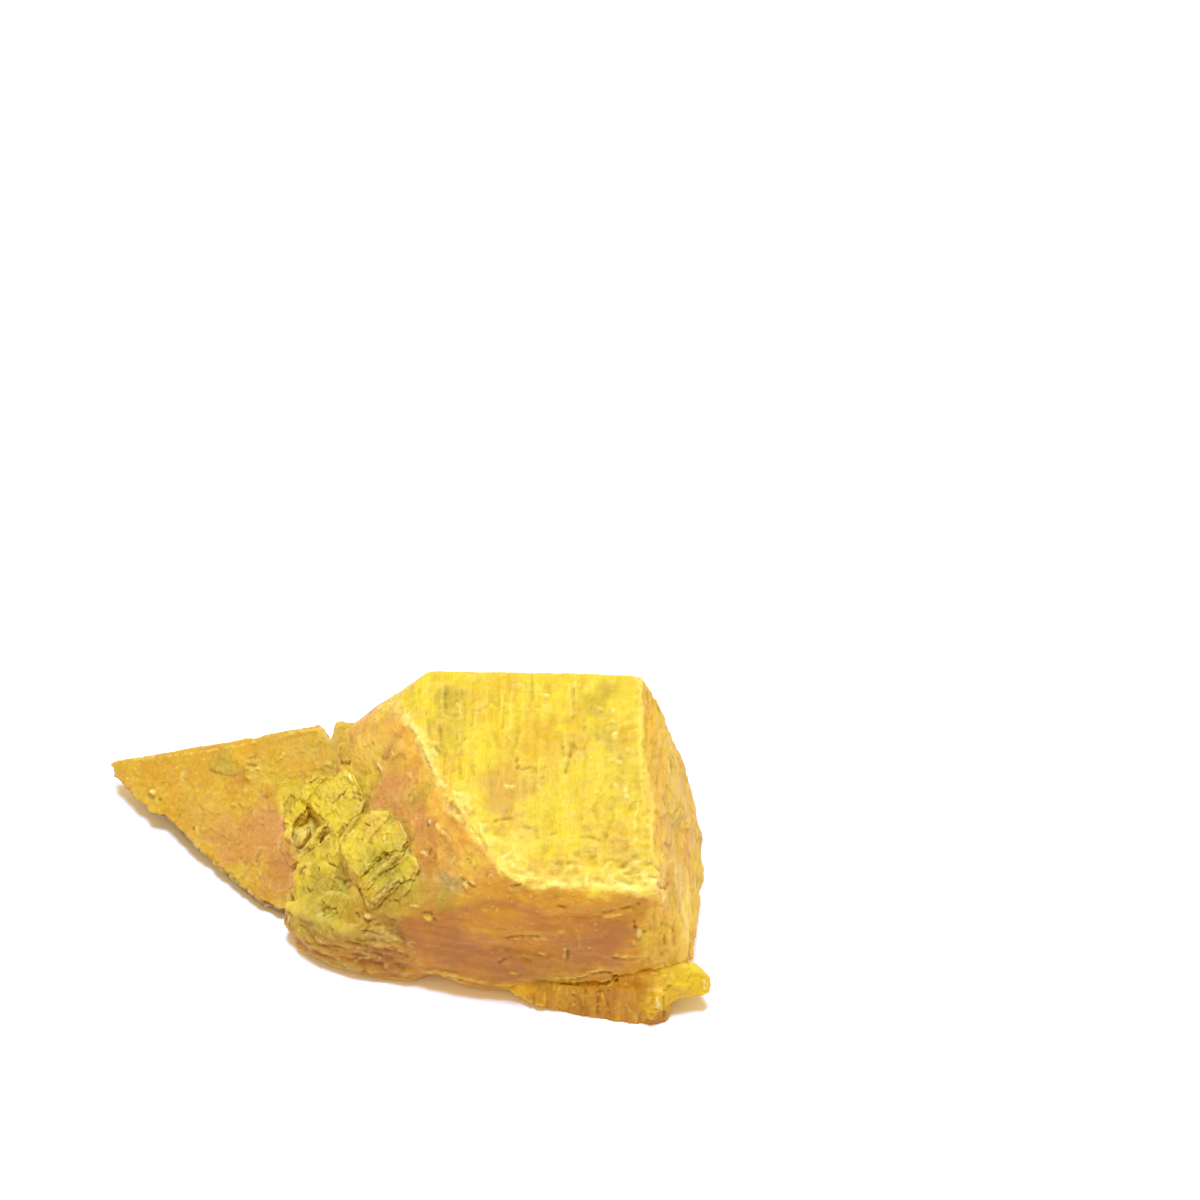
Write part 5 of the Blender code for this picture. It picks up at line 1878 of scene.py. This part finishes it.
@dataclass
class CrustPlates(StonePiece):
    """The stack of small plates, with their slats and their layered edges."""

    name: str = "crust_plates"
    grid: float = 0.09
    softening: int = 9
    crust: Crust = field(default_factory=Crust)
    heading: float = math.radians(48.0)
    slat_width: float = 0.85
    slat_length: float = 2.6
    slat_step: float = 0.10
    slat_wander: Layer = Layer(Grain.WAVES, 0.25, (2.5, 2.5, 2.5), 91)
    slat_seeds: tuple[int, int, int] = (92, 93, 94)
    slat_mean: float = 0.6
    slat_tilt: float = 0.12
    slat_turn: Ramp = Ramp(0.75, 0.93)
    layer: float = 0.34
    layer_depth: float = 0.05
    layer_wander: Layer = Layer(Grain.WAVES, 0.35, (1.6, 1.6, 1.6), 95)
    layer_rise: Ramp = Ramp(0.15, 0.45)
    layer_fall: Ramp = Ramp(0.75, 0.95)
    hollow_rounds: int = 8

    def add_masses(self, shape: Shape) -> None:
        """Adds the plates."""
        self.crust.add_plates(shape)

    def add_cuts(self, shape: Shape) -> None:
        """Adds the hollows."""
        self.crust.add_hollows(shape)

    def add_blocks(self, shape: Shape) -> None:
        """Adds the blocks that stand in the widest hollow."""
        self.crust.add_standing_blocks(shape)

    def shares(self, points: Array, normals: Array) -> dict[Face, Array]:
        """Returns a whole share of crust for every vertex."""
        return {Face.CRUST: np.ones(len(points))}

    def extra_moves(self, points: Array, normals: Array) -> Array:
        """Raises and lowers slats along the plates' heading and cuts thin layers into their edges.

        Args:
            points: vertex positions, before the relief.
            normals: the normals there.

        Returns:
            The move of each vertex, in millimetres.
        """
        along = points[:, 0] * math.cos(self.heading) + points[:, 1] * math.sin(self.heading)
        across = -points[:, 0] * math.sin(self.heading) + points[:, 1] * math.cos(self.heading)
        across = across + self.slat_wander.over(points)
        shift_seed, lift_seed, tilt_seed = self.slat_seeds
        row = np.floor(across / self.slat_width).astype(np.int64)
        blank = np.zeros_like(row)
        offset = random_of(np.stack([row, blank, blank], axis=1), shift_seed) * self.slat_length
        place = np.floor((along + offset) / self.slat_length).astype(np.int64)
        slat = np.stack([row, place, blank], axis=1)
        plate = np.array(self.crust.lid.normal())
        upward = self.slat_turn.of(normals @ plate)
        lift = (random_of(slat, lift_seed) - self.slat_mean) * self.slat_step * 2.0
        tilt = (random_of(slat, tilt_seed) - 0.5) * self.slat_tilt * (across / self.slat_width - row - 0.5)
        wave = (self.crust.lid.over(points) / self.layer + self.layer_wander.over(points)) % 1.0
        layers = (self.layer_rise.of(wave) - self.layer_fall.of(wave) - 0.5) * self.layer_depth
        return (upward * (lift + tilt))[:, None] * plate + ((1.0 - upward) * layers)[:, None] * normals


@dataclass
class Ledge(StonePiece):
    """The low ledge under the front face, and the nub at its right end."""

    name: str = "ledge"
    grid: float = 0.12
    softening: int = 16
    step: tuple[Point, ...] = (
        (8.0, -10.1, 1.5), (10.4, -11.2, 0.8), (13.1, -11.9, 0.5), (17.1, -12.5, 0.2), (19.4, -12.7, 0.1),
        (20.8, -12.5, 0.2), (21.4, -11.3, 1.8), (9.2, -10.2, 3.1), (13.5, -11.3, 3.4), (16.8, -11.7, 4.1),
        (20.2, -12.05, 3.9), (10.5, -9.8, 0.0), (17.5, -11.4, 0.0), (20.3, -11.8, 0.0), (12.0, -6.0, 0.0),
        (21.4, -7.0, 0.0), (12.0, -7.0, 4.0), (21.0, -8.0, 4.0),
    )
    nub: tuple[Point, ...] = (
        (16.0, -11.3, 4.6), (16.2, -11.6, 3.4), (19.0, -11.0, 5.4), (18.8, -11.6, 3.2), (21.9, -10.2, 5.0),
        (23.3, -9.1, 3.9), (23.9, -9.8, 3.95),
        (24.4, -10.2, 3.6), (24.6, -10.7, 2.8), (24.2, -11.2, 2.4), (21.5, -11.7, 2.1), (23.2, -8.6, 3.0),
        (23.4, -8.8, 2.3), (19.0, -7.5, 4.6), (19.0, -7.5, 2.0), (16.5, -8.0, 4.0),
    )

    wander: Layer = Layer(Grain.WAVES, 0.4, (1.5, 1.5, 1.5), 7, 3)
    nub_height: Ramp = Ramp(1.8, 2.6)
    nub_place: Ramp = Ramp(18.0, 20.5)

    def add_masses(self, shape: Shape) -> None:
        """Adds the step and the nub."""
        add_hull(shape, self.step)
        add_hull(shape, self.nub)

    def shares(self, points: Array, normals: Array) -> dict[Face, Array]:
        """Shares the vertices between the ledge and the nub.

        Args:
            points: vertex positions, before the relief.
            normals: not used.

        Returns:
            Each vertex's share of each face, from 0 to 1.
        """
        wander = self.wander.over(points)
        nub = self.nub_height.of(points[:, 2] + wander) * self.nub_place.of(points[:, 0] + 2.0 * wander)
        return {Face.LEDGE: 1.0 - nub, Face.NUB: nub}


# ----------------------------------------
# Finishes


class NodeMaker:
    """Adds nodes to one shader tree and wires them."""

    def __init__(self, tree: Tree) -> None:
        """Takes the tree."""
        self.tree = tree

    def feed(self, target: Socket, value: object) -> None:
        """Joins an output to an input, or sets the input where the value is a plain one.

        Args:
            target: the input.
            value: the output that is joined to it, or what it is set to.
        """
        if isinstance(value, Socket):
            self.tree.links.new(value, target)
        else:
            target.default_value = value

    def node(self, kind: str, inputs: dict[str | int, object], **settings: object) -> bpy.types.Node:
        """Adds a node, sets its properties and feeds its inputs.

        Args:
            kind: the node's type.
            inputs: what each named or numbered input takes.
            settings: the node's properties.

        Returns:
            The node.
        """
        made = self.tree.nodes.new(kind)
        for name, value in settings.items():
            setattr(made, name, value)
        for place, value in inputs.items():
            self.feed(made.inputs[place], value)
        return made

    def math(self, operation: str, first: object, second: object) -> Socket:
        """Returns the result of a Math node on two numbers or outputs."""
        return self.node("ShaderNodeMath", {0: first, 1: second}, operation=operation).outputs[0]

    def vector(self, operation: str, inputs: dict[str | int, object]) -> Socket:
        """Returns the result of a Vector Math node."""
        return self.node("ShaderNodeVectorMath", inputs, operation=operation).outputs[0]

    def shared(self, group: Tree, inputs: dict[str | int, object]) -> Socket:
        """Returns the first output of a node that uses a shared group."""
        return self.node("ShaderNodeGroup", inputs, node_tree=group).outputs[0]


class GroupMaker(NodeMaker):
    """Builds a shared shader node group."""

    def __init__(self, name: str, inputs: dict[str, float], output: str) -> None:
        """Makes the group's tree. A name that ends in Color is a colour, and any other is a number.

        Args:
            name: the group's name.
            inputs: its inputs, with what each is where nothing is joined to it.
            output: the name of its output.
        """
        super().__init__(bpy.data.node_groups.new(name, "ShaderNodeTree"))
        for label, default in inputs.items():
            socket = self.socket(label, "INPUT")
            if socket.socket_type == "NodeSocketFloat":
                socket.default_value = default
        self.socket(output, "OUTPUT")
        self.taken = self.tree.nodes.new("NodeGroupInput").outputs
        self.given = self.tree.nodes.new("NodeGroupOutput").inputs[0]

    def socket(self, label: str, side: str) -> bpy.types.NodeTreeInterfaceSocket:
        """Adds one input or output to the group's interface."""
        kind = "NodeSocketColor" if label.endswith("Color") else "NodeSocketFloat"
        return self.tree.interface.new_socket(label, in_out=side, socket_type=kind)


def make_millimetre_noise() -> Tree:
    """Builds the group that gives noise at a size in millimetres, stretched along each axis.

    Returns:
        The group's tree. It takes the wave's size along X, Y and Z, and gives a value from 0 to 1.
    """
    inputs = {"Size X": 1.0, "Size Y": 1.0, "Size Z": 1.0, "Detail": 3.0, "Wander": 0.0, "Shift": 0.0}
    group = GroupMaker("stone_noise", inputs, "Value")
    place = group.node("ShaderNodeTexCoord", {}).outputs["Object"]
    sizes = {index: group.taken[f"Size {axis}"] for index, axis in enumerate("XYZ")}
    size = group.node("ShaderNodeCombineXYZ", sizes).outputs[0]
    in_metres = group.vector("SCALE", {0: size, "Scale": METRES_PER_MM})
    scaled = group.vector("DIVIDE", {0: place, 1: in_metres})
    moved = group.vector("ADD", {0: scaled, 1: group.taken["Shift"]})
    settings = {"Vector": moved, "Scale": 1.0, "Roughness": NOISE_ROUGHNESS, "Detail": group.taken["Detail"]}
    settings["Distortion"] = group.taken["Wander"]
    group.feed(group.given, group.node("ShaderNodeTexNoise", settings, noise_dimensions="3D").outputs[0])
    return group.tree


def make_shade_break() -> Tree:
    """Builds the group that lightens and darkens a colour by a value from 0 to 1.

    Returns:
        The group's tree. It takes a colour, a value and an amount, and gives a colour.
    """
    group = GroupMaker("shade_break", {"In Color": 0.0, "Value": 0.5, "Amount": 0.2}, "Out Color")
    centred = group.math("SUBTRACT", group.taken["Value"], 0.5)
    gain = group.math("ADD", group.math("MULTIPLY", centred, group.taken["Amount"]), 1.0)
    group.feed(group.given, group.vector("SCALE", {0: group.taken["In Color"], "Scale": gain}))
    return group.tree


@dataclass(frozen=True)
class Noise:
    """One use of the shared noise: its waves' size in millimetres, and how it looks."""

    size: Point
    detail: float
    wander: float = 0.0
    shift: float = 0.0

    def settings(self) -> dict[str | int, object]:
        """Returns what each input of the shared group takes."""
        sizes = {f"Size {axis}": length for axis, length in zip("XYZ", self.size)}
        return {**sizes, "Detail": self.detail, "Wander": self.wander, "Shift": self.shift}


@dataclass(frozen=True)
class OrpimentFinish:
    """The waxy, pearly surface of orpiment, with its cleavage lines, its mottling, and painted glints, shade
    and highlight.
    """

    noise_group: Tree
    shade_group: Tree
    name: str = "orpiment_finish"
    fine_lines: Noise = Noise((0.22, 6.0, 6.0), 3.0, 0.1)
    broad_lines: Noise = Noise((0.9, 9.0, 9.0), 2.0, 0.2, 11.0)
    mottles: Noise = Noise((1.3, 1.3, 1.3), 4.0, 0.5)
    flecks: Noise = Noise((0.30, 0.40, 0.30), 3.0, 0.3, 31.0)
    grain: Noise = Noise((0.10, 0.10, 0.10), 2.0, 0.0, 47.0)
    mottle: float = 0.18
    lines: float = 0.36
    broad_line_share: float = 0.7
    fleck: float = 0.08
    # Painted glints: near-white flecks where the fleck and mottle noises both run high.
    glint_flecks: tuple[float, ...] = (0.64, 0.76, 0.0, 0.4)
    glint_mottles: tuple[float, ...] = (0.45, 0.6, 0.1, 1.0)
    # How strongly umber painted shade fills the hollows and a cream painted highlight lies on the crests.
    hollow: float = 0.42
    painted_crest_highlight: float = 0.30
    roughness: float = 0.52
    roughness_mottles: tuple[float, ...] = (0.3, 0.7, -0.08, 0.1)
    specular: float = 0.2
    subsurface: float = 0.10
    subsurface_radius: Point = (1.0, 0.55, 0.12)
    subsurface_scale: float = 0.0005
    line_height: float = 0.8
    grain_height: float = 0.2
    fleck_height: float = 1.1
    bump: float = 1.0
    bump_distance: float = 0.00013

    def build(self) -> Material:
        """Makes the material.

        Returns:
            The material, which reads the attributes tint, hollow, crest and sheeted; hollow is painted shade,
            crest a painted highlight.
        """
        material = bpy.data.materials.new(self.name)
        material.use_nodes = True
        maker = NodeMaker(material.node_tree)
        names = ("hollow", "painted_crest_highlight", "sheeted")
        hollow, painted_crest_highlight, sheeted = (self.attribute(maker, name, "Fac") for name in names)
        noises = (self.fine_lines, self.broad_lines, self.mottles, self.flecks, self.grain)
        fine, broad, mottles, flecks, grain = (maker.shared(self.noise_group, n.settings()) for n in noises)

        colour = self.attribute(maker, "tint", "Color")
        broad_share = self.lines * self.broad_line_share
        for value, amount in (
            (mottles, self.mottle),
            (fine, maker.math("MULTIPLY", sheeted, self.lines)),
            (broad, maker.math("MULTIPLY", sheeted, broad_share)),
            (flecks, self.fleck),
        ):
            colour = maker.shared(self.shade_group, {"In Color": colour, "Value": value, "Amount": amount})
        # Painted glints, where the fleck and mottle noises both run high.
        glints = self.remap(maker, flecks, self.glint_flecks)
        glints = maker.math("MULTIPLY", glints, self.remap(maker, mottles, self.glint_mottles))
        # Mixes in the painted glints, the painted highlight on the crests and the painted shade in the
        # hollows.
        for tint, share in (
            (Tint.PAINTED_GLINT, glints),
            (Tint.CREAM, maker.math("MULTIPLY", painted_crest_highlight, self.painted_crest_highlight)),
            (Tint.UMBER, maker.math("MULTIPLY", hollow, self.hollow)),
        ):
            mixing = {0: share, 6: colour, 7: (*tint.value, 1.0)}
            colour = maker.node("ShaderNodeMix", mixing, data_type="RGBA", clamp_factor=True).outputs[2]

        height = maker.math("MULTIPLY", fine, maker.math("MULTIPLY", sheeted, self.line_height))
        height = maker.math("ADD", height, maker.math("MULTIPLY", grain, self.grain_height))
        height = maker.math("ADD", height, maker.math("MULTIPLY", flecks, self.fleck_height))
        relief = {"Strength": self.bump, "Distance": self.bump_distance, "Height": height}
        roughness = self.remap(maker, mottles, self.roughness_mottles)
        surface = material.node_tree.nodes["Principled BSDF"]
        for label, value in {
            "Base Color": colour,
            "Roughness": maker.math("ADD", roughness, self.roughness),
            "Specular IOR Level": self.specular,
            "Subsurface Weight": self.subsurface,
            "Subsurface Radius": self.subsurface_radius,
            "Subsurface Scale": self.subsurface_scale,
            "Normal": maker.node("ShaderNodeBump", relief).outputs["Normal"],
        }.items():
            maker.feed(surface.inputs[label], value)
        return material

    def attribute(self, maker: NodeMaker, name: str, output: str) -> Socket:
        """Returns one output of a node that reads a named attribute."""
        return maker.node("ShaderNodeAttribute", {}, attribute_name=name).outputs[output]

    def remap(self, maker: NodeMaker, value: Socket, span: tuple[float, ...]) -> Socket:
        """Maps a value from one range to another, smoothly and clamped.

        Args:
            maker: adds the node.
            value: the value.
            span: where the value's range starts and ends, and what the result is at each.

        Returns:
            The result.
        """
        labels = ("From Min", "From Max", "To Min", "To Max")
        inputs = {"Value": value, **dict(zip(labels, span))}
        return maker.node("ShaderNodeMapRange", inputs, interpolation_type="SMOOTHSTEP").outputs["Result"]


# ----------------------------------------
# Floor, light and camera


@dataclass(frozen=True)
class Studio:
    """The pale floor and the plain soft light."""

    floor_size: float = 0.6
    floor_colour: Point = (0.93, 0.925, 0.91)
    floor_roughness: float = 0.8
    floor_specular: float = 0.2
    key_place: Point = (0.02, 0.05, 0.40)
    key_size: float = 0.13
    key_power: float = 1.82
    key_colour: Point = (0.70, 1.10, 1.90)
    sky_strength: float = 0.80
    sky_colour: Point = (1.25, 0.90, 0.45)
    backdrop_colour: Point = (1.0, 1.0, 1.0)

    def build(self) -> Object:
        """Makes the floor, the key light, the soft sky and the white backdrop that the camera sees.

        Returns:
            The floor's object.
        """
        shape = bmesh.new()
        bmesh.ops.create_grid(shape, x_segments=1, y_segments=1, size=self.floor_size / 2)
        floor = new_object("floor", shape)
        material = bpy.data.materials.new("floor_white")
        material.use_nodes = True
        surface = material.node_tree.nodes["Principled BSDF"]
        surface.inputs["Base Color"].default_value = (*self.floor_colour, 1.0)
        surface.inputs["Roughness"].default_value = self.floor_roughness
        surface.inputs["Specular IOR Level"].default_value = self.floor_specular
        floor.data.materials.append(material)

        lamp = bpy.data.lights.new("key", "AREA")
        lamp.energy = self.key_power
        lamp.size = self.key_size
        lamp.color = self.key_colour
        key = placed("key", lamp)
        key.location = self.key_place
        key.rotation_euler = (-Vector(self.key_place)).to_track_quat("-Z", "Y").to_euler()

        world = bpy.data.worlds.new("soft_white")
        world.use_nodes = True
        maker = NodeMaker(world.node_tree)
        sky = world.node_tree.nodes["Background"]
        maker.feed(sky.inputs["Color"], (*self.sky_colour, 1.0))
        maker.feed(sky.inputs["Strength"], self.sky_strength)
        backdrop = maker.node("ShaderNodeBackground", {"Color": (*self.backdrop_colour, 1.0)})
        seen = maker.node("ShaderNodeLightPath", {}).outputs["Is Camera Ray"]
        either = maker.node("ShaderNodeMixShader", {0: seen, 1: sky.outputs[0], 2: backdrop.outputs[0]})
        maker.feed(world.node_tree.nodes["World Output"].inputs["Surface"], either.outputs[0])
        bpy.context.scene.world = world
        bpy.context.scene.view_settings.view_transform = "Standard"
        return floor


def settle(piece: Object, material: Material) -> None:
    """Dresses a piece, puts it on the stone's body and lets it stand for the CAD node.

    Args:
        piece: the finished piece.
        material: what it is made of.
    """
    piece.data.materials.clear()
    piece.data.materials.append(material)
    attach(piece, "root")
    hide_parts("orpiment")
    triangles = sum(len(face.vertices) - 2 for face in piece.data.polygons)
    log.info("%s: %d triangles", piece.name, triangles)


def main() -> None:
    """Builds the camera, the studio and the stone, in order."""
    logging.basicConfig(level=logging.INFO, format="%(name)s %(message)s", stream=sys.stdout)
    view = Viewpoint()
    view.build()
    Studio().build()
    finish = OrpimentFinish(make_millimetre_noise(), make_shade_break()).build()
    pieces = (Body(), Tongue(), CrustPlates(), Ledge())
    bare = [piece.bare() for piece in pieces]
    surface = Surface(Sight(view, bare))
    for piece, block in zip(pieces, bare):
        settle(piece.finished(block, surface), finish)


if __name__ == "__main__":
    main()
